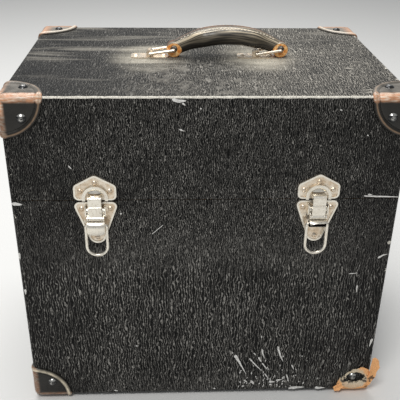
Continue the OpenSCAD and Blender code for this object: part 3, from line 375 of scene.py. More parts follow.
def corner_leather(node, place, finish):
    """Vegetable-tanned leather moulded over the corner and dyed nearly black: a fine grain,
    tan where the dye has rubbed off ridges and rim, and dust on the faces that look up."""
    _, y, z = node("SeparateXYZ", place).node.outputs
    from_edge = case_distance(node, place, "edge")
    patches = node("TexNoise", place, 1 / (9 * MM), 5.0)
    pores = node("TexNoise", place, 1 / (0.9 * MM), 2.0)
    dyed = node("Mix RGBA", patches, finish.leather, "#2b2823")
    # Ridges: 4 mm of bare leather, more along the lid's front edge
    front_top = node("SUBTRACT", z, y)
    at_front = node("MapRange", front_top, FRONT_TOP - 22 * MM, FRONT_TOP - 8 * MM, 0.4, 0.95)
    ridge = node("MapRange SMOOTHSTEP", from_edge, 0.4 * MM, 4.2 * MM, 1.0, 0.0)
    patchy = node("MapRange", patches, 0.25, 0.6, 0.35, 1.0)
    ridge_wear = node("MULTIPLY", ridge, patchy)
    strong = node("MULTIPLY", ridge_wear, at_front, use_clamp=True)
    streaky = node("Mapping", place, Scale=(0.2, 1.0, 1.0))
    scratches = node("TexNoise", streaky, 1 / (1.6 * MM), 3.0)
    scraped = node("MapRange", scratches, 0.45, 0.62)
    tan = node("Mix RGBA", scraped, finish.raw_leather, "#ecd2ba")
    bare = node("Mix RGBA", strong, dyed, tan)
    # The raised rim is rubbed to a thin pale line along its crest, wider on the low and the
    # back corners
    crest_reach = bpy.context.scene.case_corners.reach - 2.6 * MM
    off_crest = node("SUBTRACT", case_distance(node, place, "corner"), crest_reach)
    low = node("MapRange", z, 100 * MM, 200 * MM, 1.0, 0.0)
    on_top = node("MapRange", z, TOP_Z + 0.6 * MM, TOP_Z + 2.0 * MM)
    at_back = node("MapRange", y, MID_Y, BACK_Y - 40 * MM)
    top_back = node("MULTIPLY", on_top, at_back)
    half_width = node("Mix", node("MAXIMUM", low, top_back), 1.2 * MM, 2.3 * MM)
    crest = node("MapRange", node("ABSOLUTE", off_crest), 0.3 * MM, half_width, 0.75, 0.0)
    rim_wear = node("MULTIPLY", crest, patchy)
    rimmed = node("Mix RGBA", rim_wear, bare, node("Mix RGBA", low, "#94795f", "#fdeed2"))
    # Dust on top; on the back corners tan outer ridges and a cream rim show through it
    lying = node("MapRange", patches, 0.3, 0.65, 0.35, 0.9)
    thicker = node("MapRange", at_back, 0.0, 1.0, 0.4, 0.75)
    dusty = node("MULTIPLY", lying, thicker, on_top)
    dusted = node("Mix RGBA", dusty, rimmed, "#aaa296")
    outer = node("MapRange", from_edge, 1.0 * MM, 11.0 * MM, 0.85, 0.0)
    warmed = node("Mix RGBA", node("MULTIPLY", outer, top_back), dusted, "#cb9c7c")
    cream = node("MULTIPLY", crest, top_back)
    return {
        "Base_Color": node("Mix RGBA", cream, warmed, "#e8dcc8"),
        "Roughness": node("MapRange", patches, 0.3, 0.7, 0.2, 0.42),
        "Normal": node("Bump", 0.35, 0.2 * MM, Height=pores),
        "Specular_IOR_Level": 0.35,
    }


def torn_leather(node, place, finish):
    """The flesh side of split leather: felted tan fibres, cream where scuffed, with specks of
    the dark dye left on it."""
    z = node("SeparateXYZ", place).node.outputs[2]
    patches = node("TexNoise", place, 1 / (7 * MM), 5.0)
    fibres = node("TexNoise", place, 1 / (0.8 * MM), 3.0, 0.7)
    # The torn outer edge and the loose leaves are tan, the rest is scuffed to cream
    (along, up), (half_length, half_height) = TORN_OVAL
    ring = node("Mapping", place, Scale=(1 / half_length, 0.0, 1 / half_height))
    middle = ((SIDE_X - along * MM) / half_length, 0.0, (BASE_Z + up * MM) / half_height)
    from_ring = node("VectorMath DISTANCE", ring, middle)
    frayed = node("MULTIPLY_ADD", patches, 0.5 * MM, from_ring)
    outer = node("MapRange", frayed, 0.95 * MM, 1.08 * MM)
    loose = node("MapRange", case_distance(node, place, "wall"), -2.2 * MM, -3.2 * MM)
    fresh = node("MAXIMUM", outer, loose)
    scuffed = node("Mix RGBA", patches, "#f2e8d2", "#bcab8a")
    tan = node("Mix RGBA", fresh, scuffed, finish.torn_leather)
    shade = node("MapRange", fibres, 0.34, 0.54, 0.6, 0.0)
    shaded = node("Mix RGBA", shade, tan, "#a5703f")
    # Most of the dye is left round the hole
    specks = node("TexNoise", place, 1 / (3.2 * MM), 4.0)
    from_hole = node("ABSOLUTE", node("SUBTRACT", z, BASE_Z + 15 * MM))
    left_dark = node("MapRange", from_hole, 2 * MM, 9 * MM, 0.12, -0.08)
    dyed = node("MapRange", node("ADD", specks, left_dark), 0.6, 0.64, 0.0, 0.85)
    return {
        "Base_Color": node("Mix RGBA", dyed, shaded, finish.leather),
        "Roughness": 0.75,
        "Normal": node("Bump", 0.6, 0.3 * MM, Height=fibres),
    }


def grip_leather(node, place, finish):
    """Black bridle leather worn by the hand: a dull shine, rubbed grey-brown along the top,
    with raw tan edges where the leather is cut at the loops."""
    x, y, z = node("SeparateXYZ", place).node.outputs
    patches = node("TexNoise", place, 1 / (8 * MM), 5.0)
    along = node("Mapping", place, Scale=(0.3, 1.0, 1.0))
    creases = node("TexNoise", along, 1 / (1.4 * MM), 3.0)
    # Round the section from the top, in radians: a brown crown, a pale rubbed shoulder and
    # dark flanks, all in streaks 35 mm long and about 1.5 mm wide
    radius, centre_z = grip_arc()
    from_centre = node("VectorMath SUBTRACT", place, (GRIP_X, MID_Y, centre_z))
    in_plane = node("VectorMath MULTIPLY", from_centre, (1.0, 0.0, 1.0))
    outward = node("SUBTRACT", node("VectorMath LENGTH", in_plane), radius)
    across = node("SUBTRACT", y, MID_Y)
    turn = node("ARCTAN2", across, outward)
    turned = node("ABSOLUTE", turn)
    lengthwise = node("MULTIPLY", x, 1 / (35 * MM))
    crosswise = node("MULTIPLY", turn, 7.0)
    streaks = node("TexNoise", node("CombineXYZ", lengthwise, crosswise), 1.0, 2.0)
    patchy = node("MapRange", streaks, 0.42, 0.62, 0.08, 1.0)
    shoulder = node("MapRange", turned, 0.5, 0.7, 0.5, 1.1)
    flank = node("MapRange", turned, 0.95, 1.15, 1.0, 0.36)
    under = node("MapRange", turned, 1.3, 1.9, 1.0, 0.08)
    rubbed = node("MULTIPLY", shoulder, flank, under, patchy)
    browned = node("MapRange", turn, -0.35, 0.25)
    pale = node("Mix RGBA", browned, "#d8c8ac", "#b96f3c")
    worn = node("Mix RGBA", rubbed, finish.grip, pale)
    # The loops show cut leather on their sides and underneath; in and round the hole it is
    # painted dark as shade
    off_loop = node("CombineXYZ", node("ABSOLUTE", node("SUBTRACT", x, GRIP_X)), 0.0, z)
    hole = (ANCHOR_X, 0.0, LOOP.z + HOLE_LIFT)
    from_hole = node("VectorMath DISTANCE", off_loop, hole)
    # Painted shade: inside the hole and on its edge the cut leather keeps the grip's black
    dark = node("MapRange", from_hole, HOLE_RADIUS + 0.3 * MM, HOLE_RADIUS + 1.1 * MM)
    from_low = node("VectorMath DISTANCE", off_loop, (ANCHOR_X, 0.0, LOOP.z - 1.5 * MM))
    disc = node("MapRange", from_low, 8.9 * MM, 8.2 * MM)
    half_loop = bpy.context.scene.case_grip.neck_width / 2
    from_line = node("ABSOLUTE", across)
    cut_face = node("MapRange", from_line, half_loop - 1.6 * MM, half_loop - 0.6 * MM)
    below = node("MapRange", z, LOOP.z + 3.0 * MM, LOOP.z - 1.0 * MM)
    tanned = node("MAXIMUM", cut_face, below)
    raw = node("MULTIPLY", disc, dark, tanned)
    fibres = node("TexNoise", place, 1 / (2.4 * MM), 3.0)
    orange = node("Mix RGBA", node("MapRange", fibres, 0.36, 0.62), "#e08836", "#ffcf8c")
    return {
        "Base_Color": node("Mix RGBA", raw, worn, orange),
        "Roughness": node("MapRange", patches, 0.3, 0.7, 0.3, 0.48),
        "Normal": node("Bump", 0.45, 0.25 * MM, Height=creases),
    }


def nickel_plate(node, place, finish, film_left, film_deep=0.62, painted_pin_shade=None):
    """Nickel plating on pressed brass: creamy and softly bright, rubbed smooth on the raised
    rims, with a yellow-brown film left in the recesses and on the rivets, and a near-black
    painted shade round the pin at painted_pin_shade, where that is given."""
    y = node("SeparateXYZ", place).node.outputs[1]
    patches = node("TexNoise", place, 1 / (6 * MM), 5.0)
    grit = node("TexNoise", place, 1 / (0.7 * MM), 3.0)
    stand_off = node("SUBTRACT", FRONT_Y, y)
    recess, rim = PLATE_RECESS + 0.1 * MM, PLATE_RIM - 0.2 * MM
    deep = node("MapRange", stand_off, recess, rim, film_deep, film_left)
    filmed = node("MapRange", patches, 0.3, 0.62, 0.25, 1.0)
    film = node("MULTIPLY", deep, filmed)
    plated = node("Mix RGBA", film, finish.nickel, finish.tarnish)
    pits = node("TexNoise", place, 1 / (1.8 * MM), 4.0)
    pitted = node("MapRange", pits, 0.58, 0.7, 0.0, 0.4)
    colour = node("Mix RGBA", pitted, plated, "#7d6a4e")
    roughness = node("MapRange", patches, 0.3, 0.7, 0.26, 0.46)
    if painted_pin_shade:
        # Painted shade: near black round the pin, where the hollow under the hood lies in shade
        off_line = node("VectorMath SUBTRACT", place, painted_pin_shade)
        square_to_it = node("VectorMath MULTIPLY", off_line, (0.0, 1.0, 1.0))
        from_line = node("VectorMath LENGTH", square_to_it)
        painted_shade = node("MapRange", from_line, 3.7 * MM, 4.2 * MM, 1.0, 0.0)
        colour = node("Mix RGBA", painted_shade, colour, "#120e0a")
        roughness = node("MAXIMUM", roughness, painted_shade)
    return {
        "Base_Color": colour,
        "Metallic": 0.9,
        "Roughness": roughness,
        "Normal": node("Bump", 0.1, 0.08 * MM, Height=grit),
    }


def black_lacquer(node, place, finish):
    """Stoved black lacquer on steel nails: glossy, with steel rubbed bare on the crowns, and a
    painted highlight of bare steel on the upper side of the heads on the walls.
    """
    z = node("SeparateXYZ", place).node.outputs[2]
    patches = node("TexNoise", place, 1 / (2.4 * MM), 4.0)
    crown = node("MapRange", case_distance(node, place, "wall"), -4.1 * MM, -4.8 * MM)
    spots = node("MULTIPLY", crown, node("MapRange", patches, 0.4, 0.58))
    # A painted highlight: the heads on the walls show bare steel on the side that looks up
    facing = node("TexCoord", output="Normal")
    upward = node("SeparateXYZ", facing).node.outputs[2]
    raised = node("MapRange", upward, 0.4, 0.56)
    below_top = node("LESS_THAN", z, TOP_Z)
    painted_highlight = node("MULTIPLY", raised, below_top)
    # Rubbed crowns together with the painted highlight
    rubbed = node("MAXIMUM", spots, painted_highlight)
    return {
        "Base_Color": node("Mix RGBA", rubbed, finish.lacquer, "#c9c7c1"),
        "Metallic": rubbed,
        "Roughness": 0.22,
        "Normal": node("Bump", 0.25, 0.1 * MM, Height=patches),
    }


def crackle_enamel(node, place, finish, cell):
    """Stoved crackle enamel: a skin of small islands parted by shallow cracks, half gloss."""
    wander = node("TexNoise", place, 1 / (cell * 1.5), 2.0, output="Color")
    bent = node("VectorMath SUBTRACT", wander, (0.5, 0.5, 0.5))
    shaken = node("VectorMath ADD", place, node("VectorMath SCALE", bent, cell))
    to_crack = node("TexVoronoi", shaken, 1 / cell, feature="DISTANCE_TO_EDGE")
    island = node("MapRange SMOOTHSTEP", to_crack, 0.02, 0.22)
    return {
        "Base_Color": node("Mix RGBA", island, "#0d0e10", finish.enamel),
        "Roughness": node("MapRange", island, 0.0, 1.0, 0.6, 0.34),
        "Normal": node("Bump", 0.7, 0.2 * MM, Height=island),
    }


def worked_metal(node, place, bright, dull, roughness, stretch, grain):
    """Bare metal with the fine lines of its turning or rolling and faint stains."""
    lines = node("Mapping", place, Scale=(1.0, stretch, 1.0))
    tool_marks = node("TexNoise", lines, 1 / grain, 3.0)
    stains = node("TexNoise", place, 1 / (11 * MM), 5.0)
    return {
        "Base_Color": node("Mix RGBA", node("MapRange", stains, 0.35, 0.7), bright, dull),
        "Metallic": 1.0,
        "Roughness": node("MapRange", tool_marks, 0.3, 0.7, roughness, roughness + 0.14),
        "Normal": node("Bump", 0.3, 0.06 * MM, Height=tool_marks),
    }


def mottled(node, place, size, detail, spread, shades, roughness, bump, depth, **more):
    """One pattern of a size that spreads between two shades and stands up by a depth."""
    pattern = node("TexNoise", place, 1 / size, detail, **more)
    return {
        "Base_Color": node("Mix RGBA", node("MapRange", pattern, *spread), *shades),
        "Roughness": roughness,
        "Normal": node("Bump", bump, depth, Height=pattern),
    }


def plywood(node, place):
    """Birch plywood: pale, with long brown grain lines and a dull sanded surface."""
    along = node("Mapping", place, Scale=(0.06, 0.5, 1.0))
    spread, shades = (0.36, 0.64), ("#c9a873", "#9a7443")
    return mottled(
        node, along, 2.2 * MM, 4.0, spread, shades, 0.62, 0.3, 0.1 * MM, Distortion=0.5
    )


def lining_paper(node, place):
    """Brown lining paper: matted fibres, dull, with faint damp stains."""
    fibres = node("TexNoise", place, 1 / (1.1 * MM), 5.0, 0.7)
    stains = node("TexNoise", place, 1 / (40 * MM), 5.0)
    spread = node("MapRange", node("Mix", 0.4, stains, fibres), 0.35, 0.65)
    return {
        "Base_Color": node("Mix RGBA", spread, "#4a3a2d", "#6d5a46"),
        "Roughness": 0.88,
        "Normal": node("Bump", 0.3, 0.1 * MM, Height=fibres),
    }


def clear_glass(node, place):
    """Clear ground glass: smooth, with a trace of dust in its gloss."""
    dust = node("TexNoise", place, 1 / (5 * MM), 6.0)
    dulled = node("MapRange", dust, 0.4, 0.8, 0.0, 0.2)
    return {"Roughness": dulled, "Transmission_Weight": 1.0}


def belt_rubber(node, place):
    """Old black rubber: dull, greyed with bloom and powdery dust."""
    spread, shades = (0.35, 0.7), ("#171615", "#35322f")
    return mottled(node, place, 4 * MM, 5.0, spread, shades, 0.78, 0.2, 0.08 * MM)


def dried_paint(node, place, finish):
    """House paint splashed on and dried: chalky off-white with grime in it."""
    spread, shades = (0.4, 0.72, 0.0, 0.6), (finish.paint, "#7d7870")
    return mottled(node, place, 2.5 * MM, 5.0, spread, shades, 0.6, 0.3, 0.1 * MM)


def waxed_thread(node, place):
    """Waxed linen thread: pale grey-brown, twisted, darkened by handling."""
    spread, shades = (0.0, 1.0), ("#b3a793", "#e4dac6")
    return mottled(node, place, 0.9 * MM, 3.0, spread, shades, 0.6, 0.4, 0.1 * MM)


def pale_floor(node, place, stage):
    """A matt studio floor, plain all over."""
    return {"Base_Color": stage.floor, "Roughness": 0.8}


# Pieces


def dress(nodes, material):
    """Gives CAD nodes a material."""
    for name in nodes:
        slots = NODES[name].data.materials
        slots.clear()
        slots.append(material)


def finish_piece(bm, name, body, material, stands_for=()):
    """Makes a closed mesh an object that rides on a body and may stand for CAD nodes."""
    bmesh.ops.remove_doubles(bm, verts=bm.verts, dist=WELD)
    bmesh.ops.recalc_face_normals(bm, faces=bm.faces)
    mesh = bpy.data.meshes.new(name)
    bm.to_mesh(mesh)
    bm.free()
    mesh.shade_smooth()
    mesh.set_sharp_from_angle(angle=SHARP_ANGLE)
    mesh.materials.append(material)
    piece = bpy.data.objects.new(name, mesh)
    bpy.context.scene.collection.objects.link(piece)
    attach(piece, body)
    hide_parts(*stands_for)


def keep_above(bm, place, up):
    """Cuts a closed mesh at a plane, keeps what lies on its upper side and closes the cut."""
    bmesh.ops.bisect_plane(
        bm,
        geom=bm.verts[:] + bm.edges[:] + bm.faces[:],
        dist=WELD,
        plane_co=place,
        plane_no=up,
        clear_inner=True,
    )
    bmesh.ops.holes_fill(bm, edges=[e for e in bm.edges if e.is_boundary], sides=0)


def pour(sheet, bm):
    """Adds a finished sheet to a mesh."""
    mesh = bpy.data.meshes.new("sheet")
    sheet.to_mesh(mesh)
    sheet.free()
    bm.from_mesh(mesh)
    bpy.data.meshes.remove(mesh)


def thicken(bm, verts, thickness, outward=None):
    """Gives the open sheet of verts a thickness, and turns it to outward where that is given."""
    faces = list(dict.fromkeys(face for vert in verts for face in vert.link_faces))
    bmesh.ops.recalc_face_normals(bm, faces=faces)
    if outward and sum(face.normal.dot(outward) for face in faces) < 0:
        bmesh.ops.reverse_faces(bm, faces=faces)
    bmesh.ops.solidify(bm, geom=faces, thickness=thickness)


def spin(bm, verts, edges, centre, axis, angle, steps):
    """Sweeps a line of verts and edges round an axis, and closes a whole turn."""
    bmesh.ops.spin(
        bm,
        geom=verts + edges,
        cent=centre,
        axis=axis,
        angle=angle,
        steps=steps,
        use_merge=angle == 2 * math.pi,
    )


def smooth_step(low, high, value):
    """0 below low, 1 above high, with a soft start and end between them."""
    t = min(max((value - low) / (high - low), 0.0), 1.0)
    return t * t * (3 - 2 * t)


def grip_arc():
    """Radius of the grip's middle line and the height of its centre."""
    rise = GRIP_TOP - bpy.context.scene.case_grip.thickness / 2 - LOOP.z
    radius = (ANCHOR_X**2 + rise**2) / (2 * rise)
    return radius, LOOP.z + rise - radius


# Height of the moulded leather over the covering, by the distance from its edge, in mm: flat
# inside, a groove, a raised rim and a thin edge
CORNER_PROFILE = (
    (0.0, 0.7), (0.2, 1.5), (0.8, 2.2), (1.8, 2.75), (3.2, 2.85),
    (4.5, 2.6), (5.3, 2.0), (6.0, 1.5), (6.6, 1.9), (7.6, 2.15),
)
UNDERSIDE = 0.12 * MM
UNEVEN = 0.22 * MM  # how far the moulding wanders, in waves about 9 mm long


def profile_height(from_rim):
    """Height of the leather at a distance from its rim."""
    for (near, low), (far, high) in zip(CORNER_PROFILE, CORNER_PROFILE[1:]):
        if from_rim <= far * MM:
            t = (from_rim / MM - near) / (far - near)
            return (low + (high - low) * t) * MM
    return CORNER_PROFILE[-1][1] * MM


def flat_corner(bm, radii, steps):
    """Spins a radial line over the three walls that meet in a corner.

    A point's coordinates are its inward distances from the three walls."""
    axes = Matrix.Identity(3)
    for turn in range(3):
        about, start = axes[turn], axes[(turn + 1) % 3]
        spoke = [bm.verts.new(r * start) for r in radii]
        edges = [bm.edges.new(pair) for pair in zip(spoke, spoke[1:])]
        spin(bm, spoke, edges, (0, 0, 0), about, math.pi / 2, steps)
    bmesh.ops.remove_doubles(bm, verts=bm.verts, dist=WELD)


def settle(inward, height, edge_radius, signs):
    """The place of a flat corner's point, laid over the case's rounded edges at a height."""
    lean = Vector([max(edge_radius - c, 0.0) for c in inward])
    inner = Vector([max(c, edge_radius) for c in inward])
    laid = inner - lean.normalized() * (edge_radius + height)
    return CASE_MIDDLE + Vector(s * (h - p) for s, h, p in zip(signs, CASE_HALF, laid))


def moulded_corner(bm, signs, corners):
    """One leather corner: its moulded outside, its underside and the edge between them."""
    inside = [r * MM for r in range(0, 32, 4)]
    rim = sorted({corners.reach - far * MM for far, _ in CORNER_PROFILE})
    rims = []
    for outer in (True, False):
        sheet = bmesh.new()
        flat_corner(sheet, inside + rim, 32)
        for vert in sheet.verts:
            height, edge_radius = UNDERSIDE, COVERING_RADIUS
            if outer:
                from_rim = corners.reach - vert.co.length
                uneven = noise.noise(0.11 / MM * vert.co + Vector(signs) * 7)
                height = profile_height(from_rim)
                height += UNEVEN * uneven * smooth_step(0.2 * MM, 4 * MM, from_rim)
                edge_radius = corners.edge_radius
            vert.co = settle(vert.co, height, edge_radius, signs)
        before = set(bm.edges)
        pour(sheet, bm)
        rims += [e for e in bm.edges if e not in before and e.is_boundary]
    bmesh.ops.bridge_loops(bm, edges=rims)


# The torn corner. The leather left on the front is an oval with a hole and a nick in it: their
# middles and half sizes in mm, along the wall from the side and up from the base.
TORN_SIGNS = (1, -1, -1)
TORN_OVAL = ((18.5, 16.5), (20.5, 18.5))
TORN_HOLE = ((16, 19), (10.5, 6.8))
TORN_NICK = ((26, 14.5), (4, 2.2))
TORN_THICKNESS = 1.3 * MM
TORN_HEIGHT = 0.9 * MM
TORN_WAVE = 0.5 * MM

# Its loose leaves: places (out from the side, up from the base) and width in mm, how far they
# stand off the front, where they look and how thick they are
FLAP = ((-2, 7, 7), (1.5, 14, 7.5), (3.4, 22, 8.5), (4.6, 31, 10.5), (4.2, 39, 9.5), (2.6, 45, 3))
CURL = ((-39.5, 1.5, 3.5), (-37, 2.4, 6.5), (-34, 4.0, 6), (-30, 7.5, 4))
LOOSE_LEAVES = (
    (FLAP, 1.5 * MM, (0.25, -1, 0), 1.2 * MM),
    (CURL, 2.6 * MM, (0, -1, 0.2), 1.4 * MM),
)


def from_oval(oval, side, base):
    """Distance from an oval's middle, where 1 is its edge."""
    middle, half = oval
    return math.hypot((side - middle[0]) / half[0], (base - middle[1]) / half[1])


def torn_away(place):
    """Whether the leather is gone at a place, in mm inward from the side, front and base."""
    side, front, base = place
    ragged, fine = noise.noise(place * 0.16), noise.noise(place * 0.5)
    if math.hypot(side / 37.5, front / 37.5, base / 34) > 1 + 0.05 * ragged:
        return True
    if front < 0.01:
        oval = from_oval(TORN_OVAL, side, base)
        hole = from_oval(TORN_HOLE, side, base) + 0.16 * ragged + 0.1 * fine
        nick = from_oval(TORN_NICK, side, base) + 0.3 * fine
        return oval > 1 + 0.07 * ragged or hole < 1 or nick < 1
    if side < 0.01:
        beside_front = front < 13 + 3 * ragged and base > 7 + 2 * ragged
        return beside_front or math.hypot(*place) > 36 + 5 * ragged
    return False


def torn_corner(bm, corners):
    """The corner whose leather is torn: a ring is left on the front, a patch on the side."""
    sheet = bmesh.new()
    flat_corner(sheet, [r * MM for r in range(41)], 44)
    gone = [face for face in sheet.faces if torn_away(face.calc_center_median() / MM)]
    bmesh.ops.delete(sheet, geom=gone, context="FACES")
    for vert in sheet.verts:
        lifted = noise.noise(vert.co * (0.09 / MM) + Vector((3, 1, 4)))
        height = TORN_HEIGHT + TORN_WAVE * lifted
        vert.co = settle(vert.co, height, corners.edge_radius, TORN_SIGNS)
    bmesh.ops.smooth_vert(
        sheet, verts=sheet.verts, factor=0.5, use_axis_x=True, use_axis_y=True, use_axis_z=True
    )
    thicken(sheet, sheet.verts, -TORN_THICKNESS, Vector(TORN_SIGNS))
    pour(sheet, bm)


def leather_tongue(bm, points, widths, facing, thickness):
    """A loose leaf of leather along points, as wide as widths says and looking at facing."""
    grid = bmesh.ops.create_grid(bm, x_segments=4, y_segments=16, size=1.0)["verts"]
    last = len(points) - 1
    for vert in grid:
        u, t = vert.co.x, (vert.co.y + 1) / 2 * last
        i = min(int(t), last - 1)
        middle = points[i].lerp(points[i + 1], smooth_step(0, 1, t - i) * 0.4 + (t - i) * 0.6)
        width = widths[i] + (widths[i + 1] - widths[i]) * (t - i)
        across = (points[i + 1] - points[i]).cross(facing).normalized()
        wave = noise.noise(Vector((u * 0.8, t * 1.4, 2.5)))
        curl = (u**2 - 0.5) * 0.16 * width
        sideways = across * u * width / 2 * (1 + 0.2 * wave)
        vert.co = middle + sideways + facing * (curl + 0.1 * width * wave)
    thicken(bm, grid, thickness)


STROKE_SPREAD = 1.3  # the paint has run wider than the strokes that are listed below
STROKE_STEP = 1.5 * MM
STROKE_LIFT = 0.04 * MM


def paint_stroke(bm, points, start_width, end_width, height):
    """A tapering dried stroke on the front wall through points given as (x, z) in mm."""
    path = [Vector((px * MM, FRONT_Y, pz * MM)) for px, pz in points]
    length = sum((b - a).length for a, b in zip(path, path[1:]))
    rows = max(3, int(length / STROKE_STEP))
    grid = bmesh.ops.create_grid(bm, x_segments=2, y_segments=rows, size=1.0)["verts"]
    last = len(path) - 1
    for vert in grid:
        u, v = vert.co.x, (vert.co.y + 1) / 2
        i = min(int(v * last), last - 1)
        middle = path[i].lerp(path[i + 1], v * last - i)
        run = (path[i + 1] - path[i]).normalized()
        across = run.cross(Vector((0, 1, 0)))
        width = STROKE_SPREAD * (start_width + (end_width - start_width) * v) * MM
        ends = min(1.0, 0.35 + 6 * v) * (1 - 0.8 * v**3)
        wobble = 1 + 0.45 * noise.noise(Vector((middle.x, middle.z, u * 0.002)) * (0.35 / MM))
        vert.co = middle + across * (u * width / 2 * ends * wobble)
        vert.co.y -= height * (1 - 0.7 * u * u) + STROKE_LIFT
    thicken(bm, grid, -height * 0.8, Vector((0, -1, 0)))


# Strokes on the front: points (x, z) in mm, width at the start and at the end
BODY_STROKES = [
    ([(34.2, 57.6), (38.6, 49.5), (47.8, 29.9)], 3.6, 0.8),
    ([(50.5, 52.5), (65.1, 34.4)], 1.2, 0.9),
    ([(55.3, 60.2), (57.8, 57.1)], 1.2, 0.8),
    ([(60.7, 54.0), (64.5, 47.2)], 1.3, 1.0),
    ([(65.6, 45.4), (71.2, 36.2)], 1.2, 0.8),
    ([(64.3, 65.3), (65.4, 59.0), (67.9, 52.1)], 1.7, 0.8),
    ([(81.8, 69.1), (85.0, 56.5), (88.9, 47.4)], 1.7, 1.0),
    ([(99.2, 42.2), (102.1, 35.4)], 1.3, 0.9),
    ([(69.2, 30.0), (73.9, 22.4)], 1.1, 0.7),
    ([(94.1, 28.2), (97.8, 16.8)], 1.1, 0.7),
    ([(45.8, 20.6), (49.3, 18.0)], 2.0, 1.4),
    ([(54.0, 19.8), (57.6, 14.0)], 2.6, 1.6),
    ([(74.7, 17.4), (81.9, 17.2)], 2.6, 1.8),
    ([(82.8, 19.1), (89.4, 20.8)], 2.2, 1.3),
    ([(76.2, 13.9), (78.4, 13.1)], 1.5, 1.0),
    ([(98.1, 6.9), (107.0, 8.2), (115.9, 8.4)], 3.2, 2.2),
    ([(128.7, 7.2), (140.0, 6.8)], 3.0, 2.0),
    ([(178.2, 183.9), (182.4, 187.2), (187.0, 188.6)], 1.7, 1.0),
    ([(-54.7, 215.4), (-43.6, 225.6)], 0.3, 0.25),
    ([(-85.5, 238.5), (-83.8, 239.3)], 1.6, 1.3),
    ([(-189.2, 250.9), (-183.0, 250.3), (-179.4, 249.9)], 3.4, 1.6),
    ([(160.5, 150.0), (160.9, 141.0)], 1.1, 0.7),
    ([(150.2, 164.8), (158.5, 165.6)], 0.8, 0.6),
    ([(-188.4, 195.0), (-188.2, 187.2)], 1.7, 1.3),
    ([(-187.0, 150.6), (-187.4, 144.0)], 1.7, 1.2),
    ([(186.4, 77.6), (184.6, 66.9)], 2.2, 0.9),
    ([(-75.5, 73.4), (-72.9, 72.8)], 1.0, 0.8),
    ([(11.5, 9.5), (13.6, 8.6)], 1.6, 1.1),
    ([(-102.0, 9.2), (-98.0, 8.2)], 1.3, 0.9),
]
LID_STROKES = [
    ([(-33.8, 356.2), (-28.0, 354.4), (-21.2, 354.8)], 2.2, 2.6),
    ([(-24.6, 352.6), (-21.8, 350.4)], 1.6, 0.9),
    ([(-8.2, 347.6), (-6.8, 346.9)], 1.3, 0.9),
    ([(-27.2, 327.2), (-22.8, 325.4)], 1.2, 0.8),
    ([(154.0, 256.6), (165.0, 256.1), (188.4, 255.2)], 0.8, 1.6),
    ([(157.8, 258.4), (162.2, 257.8)], 1.4, 0.9),
    ([(-131.8, 291.0), (-129.0, 287.6)], 1.2, 0.8),
    ([(149.0, 321.0), (150.2, 320.2)], 1.0, 0.8),
    ([(120.5, 346.0), (122.6, 345.4)], 1.0, 0.7),
]

# Specks tried round the strokes, and in mm their middle, their scatter and how far they may lie
SPECKS = 70
SPECK_MIDDLE = 76
SPECK_SCATTER = 22
SPECK_RANGE = (25, 135)


def splashes():
    """Small specks of paint round the strokes, thickest low down."""
    dice = random.Random(11)
    specks = []
    for _ in range(SPECKS):
        px = dice.gauss(SPECK_MIDDLE, SPECK_SCATTER)
        pz = BASE_Z / MM + 4 + abs(dice.gauss(0, SPECK_SCATTER))
        lean = dice.uniform(-0.6, 0.2)
        length = dice.uniform(0.8, 3.2)
        width = dice.uniform(0.5, 1.3)
        end = (px + lean * length, pz - length)
        if SPECK_RANGE[0] < px < SPECK_RANGE[1] and end[1] > BASE_Z / MM + 3.5:
            specks.append(([(px, pz), end], width, width * 0.7))
    return specks


class CASE_OT_covering(bpy.types.Operator):
    """Covers the boards and the lid, and lines them"""

    bl_idname = "projector_case.covering"
    bl_label = "Covering"

    def execute(self, context):
        finish = context.scene.case_finish
        cloth = make_material("leathercloth", leathercloth, finish)
        wood = make_material("plywood", plywood)
        dress(["case_covering", "lid_covering"], cloth)
        dress(["case_boards", "lid_boards", "rim_lip", "reel_cradle"], wood)
        dress(["case_lining", "lid_lining"], make_material("lining_paper", lining_paper))
        return {"FINISHED"}


class CASE_OT_corners(bpy.types.Operator):
    """Moulds the leather corners and finishes their nails and feet"""

    bl_idname = "projector_case.corners"
    bl_label = "Leather corners"

    def execute(self, context):
        finish, corners = context.scene.case_finish, context.scene.case_corners
        leather = make_material("corner_leather", corner_leather, finish)
        for body, up in (("case", -1), ("lid", 1)):
            bm = bmesh.new()
            for signs in ((-1, -1, up), (1, -1, up), (-1, 1, up), (1, 1, up)):
                if signs != TORN_SIGNS:
                    moulded_corner(bm, signs, corners)
            name = body + "_corner_leather"
            finish_piece(bm, name, body, leather, [body + "_corner_caps"])
        self.tear_corner(finish, corners)
        lacquer = make_material("black_lacquer", black_lacquer, finish)
        dress(["case_corner_nails", "lid_corner_nails", "glide_feet"], lacquer)
        return {"FINISHED"}

    def tear_corner(self, finish, corners):
        """The torn corner with its loose flap and a curl at its lower end."""
        bm = bmesh.new()
        torn_corner(bm, corners)
        for leaf, stand_off, facing, thickness in LOOSE_LEAVES:
            points = [
                Vector((SIDE_X + out * MM, FRONT_Y - stand_off, BASE_Z + up * MM))
                for out, up, _ in leaf
            ]
            widths = [width * MM for _, _, width in leaf]
            leather_tongue(bm, points, widths, Vector(facing).normalized(), thickness)
        leather = make_material("torn_leather", torn_leather, finish)
        finish_piece(bm, "torn_corner_leather", "case", leather)


class CASE_OT_paint(bpy.types.Operator):
    """Splashes old paint on the front"""

    bl_idname = "projector_case.paint"
    bl_label = "Paint marks"

    def execute(self, context):
        paint = make_material("dried_paint", dried_paint, context.scene.case_finish)
        height = context.scene.case_corners.paint_height
        for body, strokes in (("case", BODY_STROKES + splashes()), ("lid", LID_STROKES)):
            bm = bmesh.new()
            for points, start, end in strokes:
                paint_stroke(bm, points, start, end, height)
            finish_piece(bm, body + "_paint_marks", body, paint)
        return {"FINISHED"}


